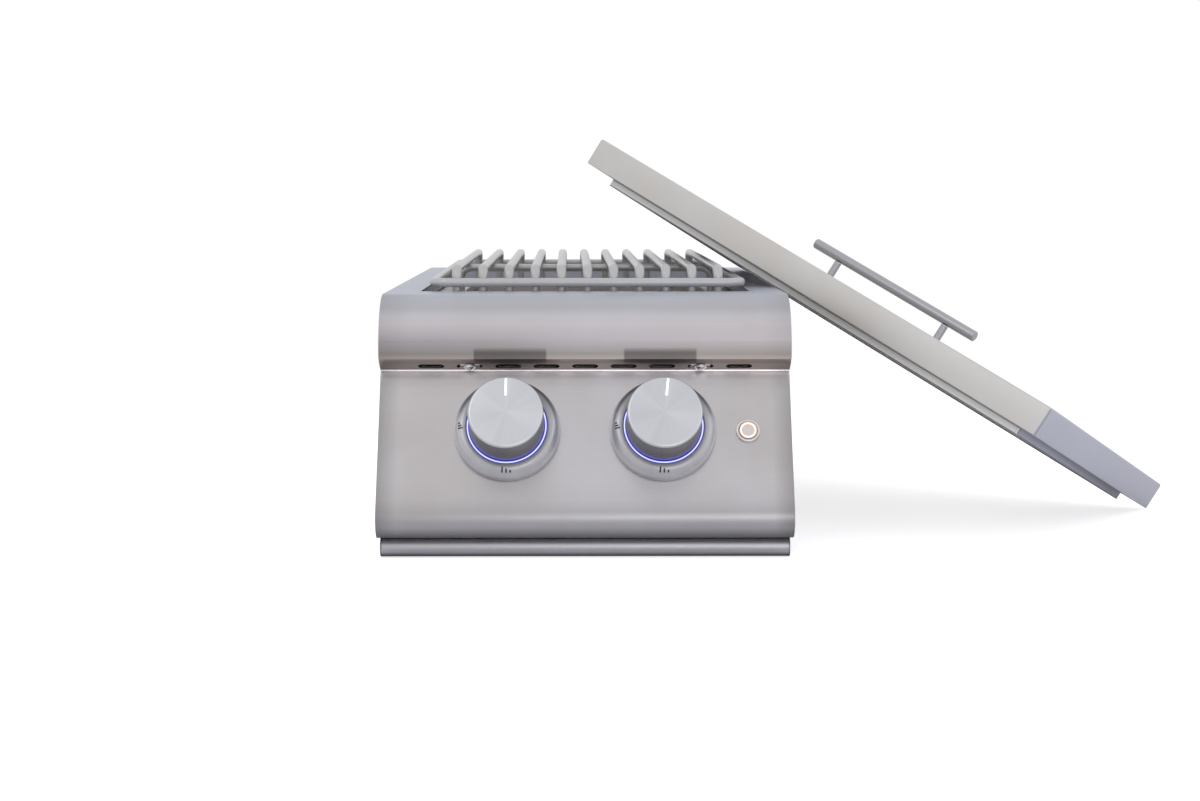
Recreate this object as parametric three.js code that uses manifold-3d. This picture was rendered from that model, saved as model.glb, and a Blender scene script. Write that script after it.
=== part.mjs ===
// A built-in gas side burner with two burners, for an outdoor kitchen.
// The unit drops into a counter cut-out. Its pan lid is off and leans on the right edge of the deck.
// Millimetres. The front faces -Y, +X is to the right and +Z is up.
// The origin is the centre of the casing's floor, on the face that the unit stands on.
import * as THREE from 'three';
import { mergeVertices } from 'three/addons/utils/BufferGeometryUtils.js';
import Module from 'manifold-3d';

// Whole unit
const unitWidth = 381;
const unitHeight = 238;
const deckDepth = 626;
const sheet = 1.5;
const seat = 0.3;
const cutOverrun = 4;
const weld = 0.6;
const mergeTolerance = 0.0001;

// Rolled front of the deck
const noseRadius = 50;
const noseHeight = 58;
const noseSteps = 10;
const underRadius = 8;
const underSteps = 4;
const undercutAngle = THREE.MathUtils.degToRad(31);
const undercutDepth = 20.5;

// Opening in the deck, and the hem under its edges
const openingMargin = 31.5;
const openingFront = 47;
const openingRearMargin = 25;
const openingCorner = 6;
const hemWidth = 13;
const hemStart = 6;
const collarDepth = 12;
const cornerSteps = 3;
const slitSteps = 2;

// Vent slots in the undercut
const slotCount = 9;
const slotMargin = 47.7;
const slotLength = 24;
const slotHeight = 8;
const slotRise = 10;
const screwSlots = [1, 7];

// Control panel
const panelLean = THREE.MathUtils.degToRad(28.1);
const panelLift = 18.8;
const toeRadius = 18.5;
const toeSteps = 8;
const foldRadius = 2.4;
const foldSteps = 3;
const lipLength = 4.5;
const tabLength = 18;
const tabWidth = 18;
const returnDepth = 48;

// Panel screws
const screwShankRadius = 2;
const screwShankLength = 9;
const screwClearance = 0.4;
const screwHeadRadius = 4.3;
const screwHeadHeight = 3.2;
const washerRadius = 5.6;
const washerThickness = 1;

// Controls on the panel
const controlRise = 60.5;
const knobShare = 0.377;
const buttonShare = 0.7874;
const roundSides = 30;
const knobRadius = 35;
const knobTop = 49;
const knobFoot = 4.5;
const knobWall = 3;
const knobCrown = 5;
const knobChamfer = 1.6;
const bossRadius = 8;
const pointerLength = 17.5;
const pointerWidth = 3;
const pointerDepth = 1.2;
const pointerInset = 0.6;
const bezelRadius = 49;
const bezelBore = 38.4;
const bezelHeight = 15.5;
const bezelLand = 1.6;
const bezelFoot = 2.5;
const bezelSteps = 3;
const lightRingRadius = 38;
const lightRingBore = 35.6;
const lightRingHeight = 14.8;
const pushTravel = 3;
const rightKnobTurn = THREE.MathUtils.degToRad(-6);

// Valves
const stemRadius = 3.8;
const stemTop = 36;
const stemBottom = 38;
const stemClearance = 0.3;
const collarTop = 15.5;
const collarThickness = 2;
const collarRadius = 7.5;
const neckRadius = 7;
const neckTop = 3;
const neckClearance = 1;
const valveWidth = 26;
const valveHeight = 28;
const valveLength = 58;
const springWire = 0.6;
const springRadius = 5.9;
const springTurns = 5;
const springTurnSteps = 6;
const springSides = 4;
const hoodRadius = 6.5;
const hoodLength = 24;
const nozzleRadius = 3.5;
const nozzleLength = 12;

// Push button
const buttonHeadRadius = 11;
const buttonHeadHeight = 2.6;
const buttonBarrelRadius = 9.4;
const buttonBarrelLength = 26;
const buttonCapRadius = 8.4;
const buttonCapTop = 3.6;
const buttonCapFoot = 2.2;
const buttonTravel = 2;
const buttonRingRadius = 7.5;
const buttonRingWidth = 1.5;
const buttonRingDepth = 1.1;
const buttonNutRadius = 13.5;
const buttonNutHeight = 5;
const buttonSides = 20;

// Gas rail
const railRadius = 11;
const railDrop = 38;
const railTail = 32;
const railInset = 44;
const elbowSize = 24;
const inletRadius = 7;
const inletPassage = 1.5;
const inletNutRadius = 12;
const inletNutLength = 13;
const inletBoreRadius = 4;
const inletBoreDepth = 9;
const pipeSides = 12;

// Housing
const deckOverhang = 23;
const casingSetback = 15;
const plateOpeningInset = 10;
const plateOpeningTop = 16;
const plateOpeningBottom = 7;
const plateHemThickness = 2;
const plateHemWidth = 17;
const plateHemInset = 2;
const plateHemTop = 24;
const plateHemBottom = 200;
const ribInset = 6;
const ribHeight = 14;
const shieldSetback = 24;
const shieldDepth = 24;
const shieldBottom = 205;
const rearVentCount = 6;
const rearVentShare = 0.63;
const rearVentHeight = 7;
const rearVentPitch = 16;
const rearVentTop = 70;

// Burner pan
const panDrop = 13.5;
const panFloorDrop = 60;
const panRimInset = 1.5;
const panShelf = 35;
const panFrontShelf = 23;
const panRearShelf = 65;
const panRimFront = 31;
const panRimRearGap = 3;
const bracketWidth = 15;
const bracketDrop = 24;
const bracketFront = 58;
const bracketRearGap = 12;
const drainLength = 56;
const drainWidth = 7;
const drainShares = [0.5, 0.64, 0.78];

// Burners
const burnerEndGap = 109;
const burnerNeckRadius = 20;
const burnerNeckDrop = 29;
const burnerFootRadius = 40;
const burnerFootThickness = 3;
const burnerWaistRadius = 33;
const burnerBowlRadius = 42;
const burnerBowlHeight = 15;
const burnerWaistHeight = 6;
const neckHoleClearance = 3;
const portRingRadius = 41;
const portRingBore = 30;
const portRingHeight = 11;
const portWidth = 2.6;
const portHeight = 6;
const portBars = 8;
const capRadius = 44;
const capEdge = 2.5;
const capShoulderRadius = 26;
const capShoulderRise = 2.5;
const capHeight = 9;
const burnerSides = 20;
const tubeRadius = 11.5;
const tubeBend = 26;
const tubeBendSteps = 3;
const tubeSetback = 6;
const tubeRunUp = 96;
const tubeLead = 30;
const tubeClearance = 2;
const mouthRadius = 16;
const mouthLength = 26;
const mouthBoreRadius = 9.5;
const mouthBoreDepth = 38;
const mouthHoleClearance = 2;

// Igniters
const igniterReach = 54;
const igniterAngle = THREE.MathUtils.degToRad(-42);
const ceramicRadius = 3.4;
const ceramicRise = 26;
const ceramicDrop = 18;
const ceramicCollarRadius = 6.5;
const ceramicCollarHeight = 4;
const ceramicClearance = 0.8;
const electrodeRadius = 1;
const electrodeRise = 6;
const electrodeReach = 9;
const electrodeBend = 2.5;
const sparkWidth = 46;
const sparkDepth = 38;
const sparkHeight = 34;
const sparkInset = 36;
const sparkDrop = 96;
const sparkBevel = 3;

// Drip tray
const traySideGap = 1.2;
const trayHeight = 15;
const trayFrontSetback = 52;
const trayRearGap = 15;
const trayLift = 0.3;
const rollRadius = 9;
const rollInset = 2.5;
const rollFront = 79.5;
const rollLift = 0.3;
const rollSteps = 8;
const rollWeb = 8;

// Grate
const grateSideGap = 7.1;
const grateShift = 0.2;
const grateFrontLap = 1.2;
const grateRearGap = 41.8;
const frameRadius = 4.25;
const frameRise = 8.4;
const frameCorner = 14;
const fingerCount = 11;
const fingerInset = 21.15;
const fingerRadius = 4;
const fingerTop = 25.5;
const fingerBend = 9;
const crossShare = 0.4;
const crossOverhang = 6;
const crossBend = 11;
const bendSteps = 3;
const rodSides = 8;
const grateSkew = THREE.MathUtils.degToRad(0.25);

// Lid
const lidEndLap = 23;
const lidSideLap = 21;
const lidRim = 30;
const lidSkirt = 8;
const lidCorner = 5;
const lidCrown = 2.5;
const lidReturn = 12;
const skirtGap = 2;
const skirtCorner = 3;
const lidTilt = THREE.MathUtils.degToRad(31.66);
const lidTurn = THREE.MathUtils.degToRad(36.69);
const lidReach = 243.7;
const handleRadius = 5.5;
const handleLength = 220;
const handleRise = 27;
const handleChamfer = 1;
const postRadius = 4;
const postOffset = 74;
const handleSides = 16;

// Places worked out from the sizes
const deckFront = -deckDepth / 2;
const deckTop = unitHeight;
const panelBottom = unitHeight - panelLift;
const setback = noseRadius - undercutDepth;
const creaseDrop = noseHeight + undercutDepth * Math.tan(undercutAngle);
const openingWidth = unitWidth - 2 * openingMargin;
const openingRear = deckDepth - openingRearMargin;
const openingLength = openingRear - openingFront;
const slotPitch = (unitWidth - 2 * slotMargin) / (slotCount - 1);
const knobOffset = (knobShare * unitWidth) / 2;
const buttonOffset = (buttonShare * unitWidth) / 2;
const casingWidth = unitWidth - 2 * deckOverhang;
const casingInside = casingWidth / 2 - sheet;
const ribOffset = casingInside - ribInset;
const panCavityWidth = 2 * (casingInside - panShelf);
const panCavityFront = openingFront + panFrontShelf;
const panCavityRear = openingRear - panRearShelf;
const burnerFront = panCavityFront + burnerEndGap;
const burnerRear = panCavityRear - burnerEndGap;
const grateWidth = openingWidth - 2 * grateSideGap;
const grateFront = openingFront - grateFrontLap;
const grateLength = openingRear - grateRearGap - grateFront;
const fingerPitch = (grateWidth - 2 * frameRadius - 2 * fingerInset) / (fingerCount - 1);
const rollWidth = unitWidth - 2 * rollInset;
const lidLength = openingLength + 2 * lidEndLap;
const lidWidth = openingWidth + 2 * lidSideLap;
const casingRear = deckDepth - casingSetback;
const plateRear = sheet;
const joint = sheet + seat;

const wasm = await Module();
wasm.setup();

// Materials
function metal(color, roughness, metalness = 1) {
  return new THREE.MeshStandardMaterial({ color, roughness, metalness });
}
const deckSteel = metal(0xb9bcc6, 0.34);
const panelSteel = metal(0xb7b3b1, 0.38);
const lidSteel = metal(0xc6c2bb, 0.42);
const rodSteel = metal(0xa9a6a2, 0.28);
const trimSteel = metal(0xb4b8bd, 0.3);
const knobMetal = metal(0xc9cbd2, 0.3);
const innerSteel = metal(0x8d8a88, 0.45);
const brass = metal(0xb08d4f, 0.4);
const castIron = metal(0x3b3a39, 0.7, 0.6);
const screwSteel = metal(0xd6d8dc, 0.2);
const springSteel = metal(0x9a9ca0, 0.35);
const ceramic = metal(0xece8df, 0.5, 0);
const blackPlastic = metal(0x1d1d1f, 0.6, 0);
const pointerWhite = metal(0xf4f4fb, 0.4, 0);
const knobGlow = new THREE.MeshStandardMaterial({ color: 0xcfd2ff, emissive: 0x9a9cff, roughness: 0.4 });
const buttonGlow = new THREE.MeshStandardMaterial({ color: 0xffd9b8, emissive: 0xff9a55, roughness: 0.4 });

// Points, outlines and paths
const v2 = (x, y) => new THREE.Vector2(x, y);
const v3 = (x, y, z) => new THREE.Vector3(x, y, z);
const alongAngle = (angle, length) => v2(Math.cos(angle), Math.sin(angle)).multiplyScalar(length);

// Rounds each inner corner of a path with an arc of the given radius.
function rounded(points, radii, steps) {
  const path = [points[0].clone()];
  for (let i = 1; i < points.length - 1; i += 1) {
    const radius = Array.isArray(radii) ? radii[i - 1] : radii;
    const count = Array.isArray(steps) ? steps[i - 1] : steps;
    const into = points[i].clone().sub(points[i - 1]).normalize();
    const out = points[i + 1].clone().sub(points[i]).normalize();
    const turn = Math.acos(THREE.MathUtils.clamp(into.dot(out), -1, 1));
    const start = points[i].clone().addScaledVector(into, -radius * Math.tan(turn / 2));
    const side = out.clone().addScaledVector(into, -Math.cos(turn)).normalize();
    for (let k = 0; k <= count; k += 1) {
      const a = (turn * k) / count;
      path.push(start.clone().addScaledVector(into, radius * Math.sin(a))
        .addScaledVector(side, radius * (1 - Math.cos(a))));
    }
  }
  path.push(points[points.length - 1].clone());
  return path;
}

// Moves a flat path to its left by a distance, with mitred corners.
function offsetLeft(path, distance) {
  return path.map((p, i) => {
    const into = p.clone().sub(path[Math.max(i - 1, 0)]);
    const out = path[Math.min(i + 1, path.length - 1)].clone().sub(p);
    if (i === 0) into.copy(out);
    if (i === path.length - 1) out.copy(into);
    const along = into.normalize().add(out.normalize()).normalize();
    const reach = distance / along.dot(out);
    return v2(p.x - along.y * reach, p.y + along.x * reach);
  });
}

const sheetOutline = (path) => [...path, ...offsetLeft(path, sheet).reverse()];

function roundedRectangle(width, length, radius, steps = cornerSteps) {
  const x = width / 2;
  const y = length / 2;
  const corners = [v2(x, 0), v2(x, y), v2(-x, y), v2(-x, -y), v2(x, -y), v2(x, 0)];
  return rounded(corners, radius, steps).slice(0, -1);
}

const polygon = (sides, radius, turn = 0) => Array.from({ length: sides }, (_, i) => {
  const a = turn + (i / sides) * 2 * Math.PI;
  return v2(Math.cos(a), Math.sin(a)).multiplyScalar(radius);
});

// Solids
function prism(points, depth) {
  return new THREE.ExtrudeGeometry(new THREE.Shape(points), { depth, bevelEnabled: false });
}

const basisX = new THREE.Matrix4().makeBasis(v3(0, 1, 0), v3(0, 0, 1), v3(1, 0, 0));
const basisY = new THREE.Matrix4().makeBasis(v3(1, 0, 0), v3(0, 0, 1), v3(0, -1, 0));

// An outline in (Y, Z), swept across X and centred on a place.
const prismX = (points, width, centre = 0) => prism(points, width).applyMatrix4(basisX)
  .translate(centre - width / 2, 0, 0);
// An outline in (X, Z), swept along Y between two places.
const prismY = (points, y0, y1) => prism(points, y1 - y0).applyMatrix4(basisY).translate(0, y1, 0);
// An outline in (X, Y), swept along Z between two places.
const prismZ = (points, z0, z1) => prism(points, z1 - z0).translate(0, 0, z0);

function box(x0, x1, y0, y1, z0, z1) {
  return new THREE.BoxGeometry(x1 - x0, y1 - y0, z1 - z0)
    .translate((x0 + x1) / 2, (y0 + y1) / 2, (z0 + z1) / 2);
}

const roundBar = (radius, z0, z1, sides = pipeSides) => prismZ(polygon(sides, radius), z0, z1);
const barAlongY = (radius, y0, y1, sides = pipeSides) => prismY(polygon(sides, radius), y0, y1);

// A profile of (radius, height) pairs, turned about Z.
function turned(pairs, sides = roundSides) {
  const profile = pairs.map(([r, h]) => v2(r, h));
  if (pairs[0][0] > 0) profile.push(profile[0].clone());
  return new THREE.LatheGeometry(profile, sides).rotateX(Math.PI / 2);
}

// A path that an extrusion follows from knot to knot.
class KnotPath extends THREE.Curve {
  constructor(knots) {
    super();
    this.knots = knots;
  }

  getPoint(t, target = v3(0, 0, 0)) {
    return target.copy(this.knots[Math.round(t * (this.knots.length - 1))]);
  }

  getPointAt(u, target) {
    return this.getPoint(u, target);
  }

  getTangentAt(u, target = v3(0, 0, 0)) {
    const last = this.knots.length - 1;
    const i = Math.round(u * last);
    const into = this.knots[i].clone().sub(this.knots[Math.max(i - 1, 0)]).normalize();
    const out = this.knots[Math.min(i + 1, last)].clone().sub(this.knots[i]).normalize();
    return target.copy(into.add(out).normalize());
  }
}

function bentRod(knots, radius, sides = rodSides) {
  return new THREE.ExtrudeGeometry(new THREE.Shape(polygon(sides, radius)), {
    steps: knots.length - 1, bevelEnabled: false, extrudePath: new KnotPath(knots),
  });
}

// Merges the vertices, drops empty triangles and turns the faces outwards.
function closedMesh(shape) {
  const bare = shape.clone();
  bare.deleteAttribute('normal');
  bare.deleteAttribute('uv');
  const merged = mergeVertices(bare, mergeTolerance);
  const at = merged.attributes.position;
  const corner = (i) => v3(at.getX(i), at.getY(i), at.getZ(i));
  const faces = [];
  let volume = 0;
  for (let i = 0; i < merged.index.count; i += 3) {
    const [a, b, c] = [0, 1, 2].map((k) => merged.index.getX(i + k));
    if (a !== b && b !== c && c !== a) {
      faces.push([a, b, c]);
      volume += corner(a).dot(corner(b).cross(corner(c)));
    }
  }
  merged.setIndex(faces.flatMap(([a, b, c]) => (volume < 0 ? [a, c, b] : [a, b, c])));
  return merged;
}

function toSolid(shape) {
  if (!shape.isBufferGeometry) return shape;
  const closed = closedMesh(shape);
  return new wasm.Manifold(new wasm.Mesh({
    numProp: 3,
    vertProperties: Float32Array.from(closed.attributes.position.array),
    triVerts: Uint32Array.from(closed.index.array),
  }));
}

function toGeometry(solid) {
  const mesh = solid.getMesh();
  const geometry = new THREE.BufferGeometry();
  geometry.setAttribute('position', new THREE.BufferAttribute(mesh.vertProperties, 3));
  geometry.setIndex(new THREE.BufferAttribute(mesh.triVerts, 1));
  return geometry;
}

const join = (...shapes) => shapes.map(toSolid).reduce((whole, next) => whole.add(next));
const cut = (shape, ...tools) => tools.map(toSolid).reduce((left, tool) => left.subtract(tool), toSolid(shape));

function place(shape, x, y, z) {
  return shape.isBufferGeometry ? shape.translate(x, y, z) : shape.translate([x, y, z]);
}

// The unit, with the deck's front tangent line and top plane as the reference for its sheet work
const unit = new THREE.Group();

function addPiece(name, shape, material, parent = unit) {
  const mesh = new THREE.Mesh(shape.isBufferGeometry ? closedMesh(shape) : toGeometry(shape), material);
  mesh.name = name;
  parent.add(mesh);
  return mesh;
}

const body = new THREE.Group();
body.position.set(0, deckFront, deckTop);
unit.add(body);
const addToBody = (name, shape, material) => addPiece(name, shape, material, body);

// The front's section, in (Y, Z) from the deck's front tangent line
const crease = v2(-setback, -creaseDrop);
const undercutUp = alongAngle(Math.PI - undercutAngle, 1);
const undercutIn = v2(undercutUp.y, -undercutUp.x);
const panelDown = alongAngle(-Math.PI / 2 - panelLean, 1);
const toeCorner = crease.clone().addScaledVector(panelDown, (panelBottom - creaseDrop) / -panelDown.y);
const returnEnd = v2(toeCorner.x + returnDepth, -panelBottom);
const noseCorner = v2(-noseRadius, 0);
const noseFoot = v2(-noseRadius, -noseHeight);

// The fold line of the panel, where its lip passes behind the undercut
const foldCorner = (() => {
  const start = crease.clone().addScaledVector(undercutIn, joint);
  const across = undercutUp.x * panelDown.y - undercutUp.y * panelDown.x;
  const gap = crease.clone().sub(start);
  const along = (gap.x * panelDown.y - gap.y * panelDown.x) / across;
  return start.addScaledVector(undercutUp, along);
})();

// A frame whose Z points out of the sloping panel
const panelFrame = (x, rise = controlRise) => {
  const at = crease.clone().addScaledVector(panelDown, rise);
  const frame = new THREE.Group();
  frame.position.set(x, at.x, at.y);
  frame.rotation.x = Math.PI / 2 - panelLean;
  frame.updateMatrix();
  return frame;
};

// A frame whose Z points out of the undercut
const slotFrame = (index) => {
  const at = crease.clone().addScaledVector(undercutUp, slotRise);
  const frame = new THREE.Group();
  frame.position.set((index - (slotCount - 1) / 2) * slotPitch, at.x, at.y);
  frame.rotation.x = Math.PI - undercutAngle;
  frame.updateMatrix();
  return frame;
};

const inFrame = (shape, frame) => shape.applyMatrix4(frame.matrix);

function topDeck() {
  const end = crease.clone().addScaledVector(undercutUp, foldRadius + seat);
  const path = rounded(
    [v2(deckDepth, 0), noseCorner, noseFoot, end], [noseRadius, underRadius], [noseSteps, underSteps],
  );
  const middle = openingFront + openingLength / 2;
  const opening = roundedRectangle(openingWidth, openingLength, openingCorner);
  const outside = roundedRectangle(openingWidth + 2 * sheet, openingLength + 2 * sheet, openingCorner + sheet);
  const collar = cut(
    prismZ(outside, -collarDepth, -sheet / 2), prismZ(opening, -collarDepth - cutOverrun, cutOverrun),
  );
  const slots = Array.from({ length: slotCount }, (_, i) => inFrame(
    prismZ(roundedRectangle(slotLength, slotHeight, slotHeight / 2 - seat, slitSteps), -cutOverrun, cutOverrun),
    slotFrame(i),
  ));
  const side = unitWidth / 2;
  const hem = cut(
    box(-side, side, hemStart, deckDepth, -2 * sheet, -sheet / 2),
    box(-side + hemWidth, side - hemWidth, -cutOverrun, deckDepth - hemWidth, -cutOverrun, cutOverrun),
  );
  const skin = cut(
    prismX(sheetOutline(path), unitWidth),
    prismZ(opening, -cutOverrun, cutOverrun).translate(0, middle, 0),
    ...slots,
  );
  addToBody('top_deck', join(skin, hem, place(collar, 0, middle, 0)), deckSteel);
}

function controlPanel() {
  const lipStart = foldCorner.clone().addScaledVector(undercutUp, lipLength);
  const tabStart = foldCorner.clone().addScaledVector(undercutUp, tabLength);
  const tabEnd = foldCorner.clone().addScaledVector(undercutUp, lipLength - sheet);
  const path = rounded(
    [lipStart, foldCorner, toeCorner, returnEnd], [foldRadius, toeRadius], [foldSteps, toeSteps],
  );
  const tabs = screwSlots.map((i) => prismX(sheetOutline([tabStart, tabEnd]), tabWidth, slotFrame(i).position.x));
  const tabHoles = screwSlots.map((i) => inFrame(
    roundBar(screwShankRadius + screwClearance, -screwShankLength, cutOverrun), slotFrame(i),
  ));
  const stemHoles = [-knobOffset, knobOffset].map((x) => inFrame(
    roundBar(neckRadius + neckClearance, -cutOverrun, cutOverrun), panelFrame(x),
  ));
  const buttonHole = inFrame(
    roundBar(buttonBarrelRadius + seat, -cutOverrun, cutOverrun, buttonSides), panelFrame(buttonOffset),
  );
  const panel = join(prismX(sheetOutline(path), unitWidth), ...tabs);
  addToBody('control_panel', cut(panel, ...tabHoles, ...stemHoles, buttonHole), panelSteel);
}

function panelScrews() {
  ['left', 'right'].forEach((side, i) => {
    const frame = slotFrame(screwSlots[i]);
    body.add(frame);
    const screw = turned([
      [0, -screwShankLength], [screwShankRadius, -screwShankLength], [screwShankRadius, seat],
      [washerRadius, seat], [washerRadius, seat + washerThickness],
      [screwHeadRadius, seat + washerThickness],
      [screwHeadRadius, seat + washerThickness + screwHeadHeight / 2],
      [screwHeadRadius / 2, seat + washerThickness + screwHeadHeight],
      [0, seat + washerThickness + screwHeadHeight],
    ], pipeSides);
    addPiece(`panel_screw_${side}`, screw, screwSteel, frame);
  });
}

function endCaps() {
  const inner = offsetLeft(rounded(
    [v2(noseRadius, 0), noseCorner, noseFoot, crease, toeCorner, v2(noseRadius, -panelBottom)],
    [noseRadius, underRadius, seat, toeRadius], [noseSteps, underSteps, 1, toeSteps],
  ), joint);
  const behind = box(
    -unitWidth, unitWidth, -seat, 2 * noseRadius, -unitHeight - cutOverrun, cutOverrun,
  );
  const relief = prismX(
    polygon(pipeSides, lipLength + sheet + seat).map((p) => p.add(foldCorner)), 2 * unitWidth,
  );
  ['left', 'right'].forEach((side, i) => {
    const x = (i === 0 ? -1 : 1) * (unitWidth / 2 - seat - sheet / 2);
    addToBody(`end_cap_${side}`, cut(prismX(inner, sheet, x), behind, relief), panelSteel);
  });
}

function mountingFlange() {
  const x = unitWidth / 2 - seat;
  const inside = casingInside - plateOpeningInset;
  const bottom = -panelBottom + joint;
  const plate = box(-x, x, 0, plateRear, bottom, -joint);
  const hole = box(
    -inside, inside, -cutOverrun, cutOverrun, bottom + plateOpeningBottom, -plateOpeningTop,
  );
  const hems = [-1, 1].map((side) => {
    const centre = side * (x - plateHemInset - plateHemWidth / 2);
    return box(
      centre - plateHemWidth / 2, centre + plateHemWidth / 2,
      plateRear / 2, plateRear + plateHemThickness, -plateHemBottom, -plateHemTop,
    );
  });
  addToBody('mounting_flange', join(cut(plate, hole), ...hems), innerSteel);
}

function casing() {
  const x = casingWidth / 2;
  const front = plateRear + seat;
  const floor = -unitHeight;
  const channel = cut(
    box(-x, x, front, casingRear, floor, -joint),
    box(-x + sheet, x - sheet, front - cutOverrun, casingRear + cutOverrun, floor + sheet, cutOverrun),
  );
  const ribs = [-1, 1].map((side) => {
    const centre = side * (ribOffset + sheet / 2);
    return box(
      centre - sheet / 2, centre + sheet / 2,
      front, casingRear - trayRearGap, floor + sheet / 2, floor + sheet + ribHeight,
    );
  });
  addToBody('casing', join(channel, ...ribs), innerSteel);
}

function rearPanel() {
  const x = casingInside - seat;
  const rear = casingRear - seat;
  const plate = box(-x, x, rear - sheet, rear, -unitHeight + joint, -joint);
  const ventWidth = 2 * x * rearVentShare;
  const ventOutline = roundedRectangle(ventWidth, rearVentHeight, rearVentHeight / 2 - seat, slitSteps);
  const vents = Array.from({ length: rearVentCount }, (_, i) => prismY(
    ventOutline, rear - cutOverrun, rear + cutOverrun,
  ).translate(0, 0, -rearVentTop - i * rearVentPitch));
  const pipeHole = barAlongY(inletRadius + inletPassage, rear - cutOverrun, rear + cutOverrun)
    .translate(inletPlace.x, 0, inletPlace.z);
  addToBody('rear_panel', cut(plate, ...vents, pipeHole), innerSteel);
}

function heatShield() {
  const x = casingInside - seat;
  const outline = sheetOutline([
    v2(x, shieldSetback + shieldDepth), v2(x, shieldSetback), v2(-x, shieldSetback),
    v2(-x, shieldSetback + shieldDepth),
  ].reverse());
  const holes = [-1, 1].map((side) => barAlongY(mouthRadius + mouthHoleClearance, 0, shieldSetback + cutOverrun)
    .translate(side * knobOffset, 0, nozzlePlace.y));
  const pipeHole = barAlongY(inletRadius + inletPassage, 0, shieldSetback + cutOverrun)
    .translate(inletPlace.x, 0, inletPlace.z);
  const sideTop = -panDrop - sheet - seat;
  const sideRelief = box(
    -casingWidth, casingWidth, panRimFront - seat, deckDepth, sideTop - seat, cutOverrun,
  );
  const plate = prismZ(outline, -shieldBottom, -joint);
  addToBody('heat_shield', cut(plate, ...holes, pipeHole, sideRelief), innerSteel);
}

// Gas path: the rail lies along the valves, in a frame on the panel
const railFrame = panelFrame(0);
const railInFrame = v3(0, -(valveHeight / 2 + seat + railRadius), -railDrop);
const railPlace = railInFrame.clone().applyMatrix4(railFrame.matrix);
const valveEnd = v3(0, 0, -valveLength).applyMatrix4(railFrame.matrix);
const nozzlePlace = v2(valveEnd.y, valveEnd.z);
const railLeft = knobOffset + railTail;
const railRight = casingInside - railInset;
const inletPlace = v3(railRight + seat + sheet + elbowSize / 2, railPlace.y + elbowSize / 2, railPlace.z);

function gasRail() {
  const rail = prismX(polygon(pipeSides, railRadius), railLeft + railRight, (railRight - railLeft) / 2)
    .translate(0, railPlace.y, railPlace.z);
  addToBody('gas_manifold', rail, innerSteel);
  const half = elbowSize / 2;
  const elbow = join(
    box(-half, half, -half, half, -half, half),
    prismX(polygon(6, half), sheet * 2, -half),
  ).translate([inletPlace.x, railPlace.y, railPlace.z]);
  addToBody('inlet_elbow', elbow, brass);
  const pipe = barAlongY(inletRadius, inletPlace.y + seat, casingRear);
  addToBody('inlet_pipe', place(pipe, inletPlace.x, 0, inletPlace.z), brass);
  const nutStart = casingRear + seat;
  const nutEnd = nutStart + inletNutLength;
  const connection = cut(
    prismY(polygon(6, inletNutRadius), nutStart, nutEnd),
    barAlongY(inletBoreRadius, nutEnd - inletBoreDepth, nutEnd + cutOverrun),
  );
  addToBody('gas_connection', place(connection, inletPlace.x, 0, inletPlace.z), brass);
}

function valves() {
  ['left', 'right'].forEach((side, i) => {
    const x = (i === 0 ? -1 : 1) * knobOffset;
    const frame = panelFrame(x);
    body.add(frame);
    const block = cut(
      join(
        box(-valveWidth / 2, valveWidth / 2, -valveHeight / 2, valveHeight / 2, -valveLength, -joint),
        roundBar(neckRadius, -joint - sheet, neckTop),
      ),
      roundBar(stemRadius + stemClearance, -stemBottom - pushTravel - sheet, neckTop + cutOverrun),
    ).transform(frame.matrix.elements);
    const hood = barAlongY(hoodRadius, nozzlePlace.x - hoodLength / 2, nozzlePlace.x + hoodLength / 2);
    const nozzle = barAlongY(nozzleRadius, nozzlePlace.x, nozzlePlace.x + hoodLength / 2 + nozzleLength);
    const outlet = [hood, nozzle].map((shape) => shape.translate(x, 0, nozzlePlace.y));
    addToBody(`valve_body_${side}`, join(block, ...outlet), brass);
    addPiece(`valve_stem_${side}`, roundBar(stemRadius, -stemBottom, stemTop), springSteel, frame);
    addPiece(`stem_collar_${side}`, turned([
      [stemRadius + stemClearance, collarTop - collarThickness], [collarRadius, collarTop - collarThickness],
      [collarRadius, collarTop], [stemRadius + stemClearance, collarTop],
    ], pipeSides), springSteel, frame);
    addPiece(`valve_spring_${side}`, springCoil(), springSteel, frame);
    controls(side, frame);
  });
}

// One unbroken coil between the valve's neck and the collar
function springCoil() {
  const low = neckTop + seat + springWire;
  const high = collarTop - collarThickness - seat - springWire;
  const count = springTurns * springTurnSteps;
  const knots = Array.from({ length: count + 1 }, (_, k) => {
    const a = (k / springTurnSteps) * 2 * Math.PI;
    return v3(springRadius * Math.cos(a), springRadius * Math.sin(a), low + ((high - low) * k) / count);
  });
  return bentRod(knots, springWire, springSides);
}

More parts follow.
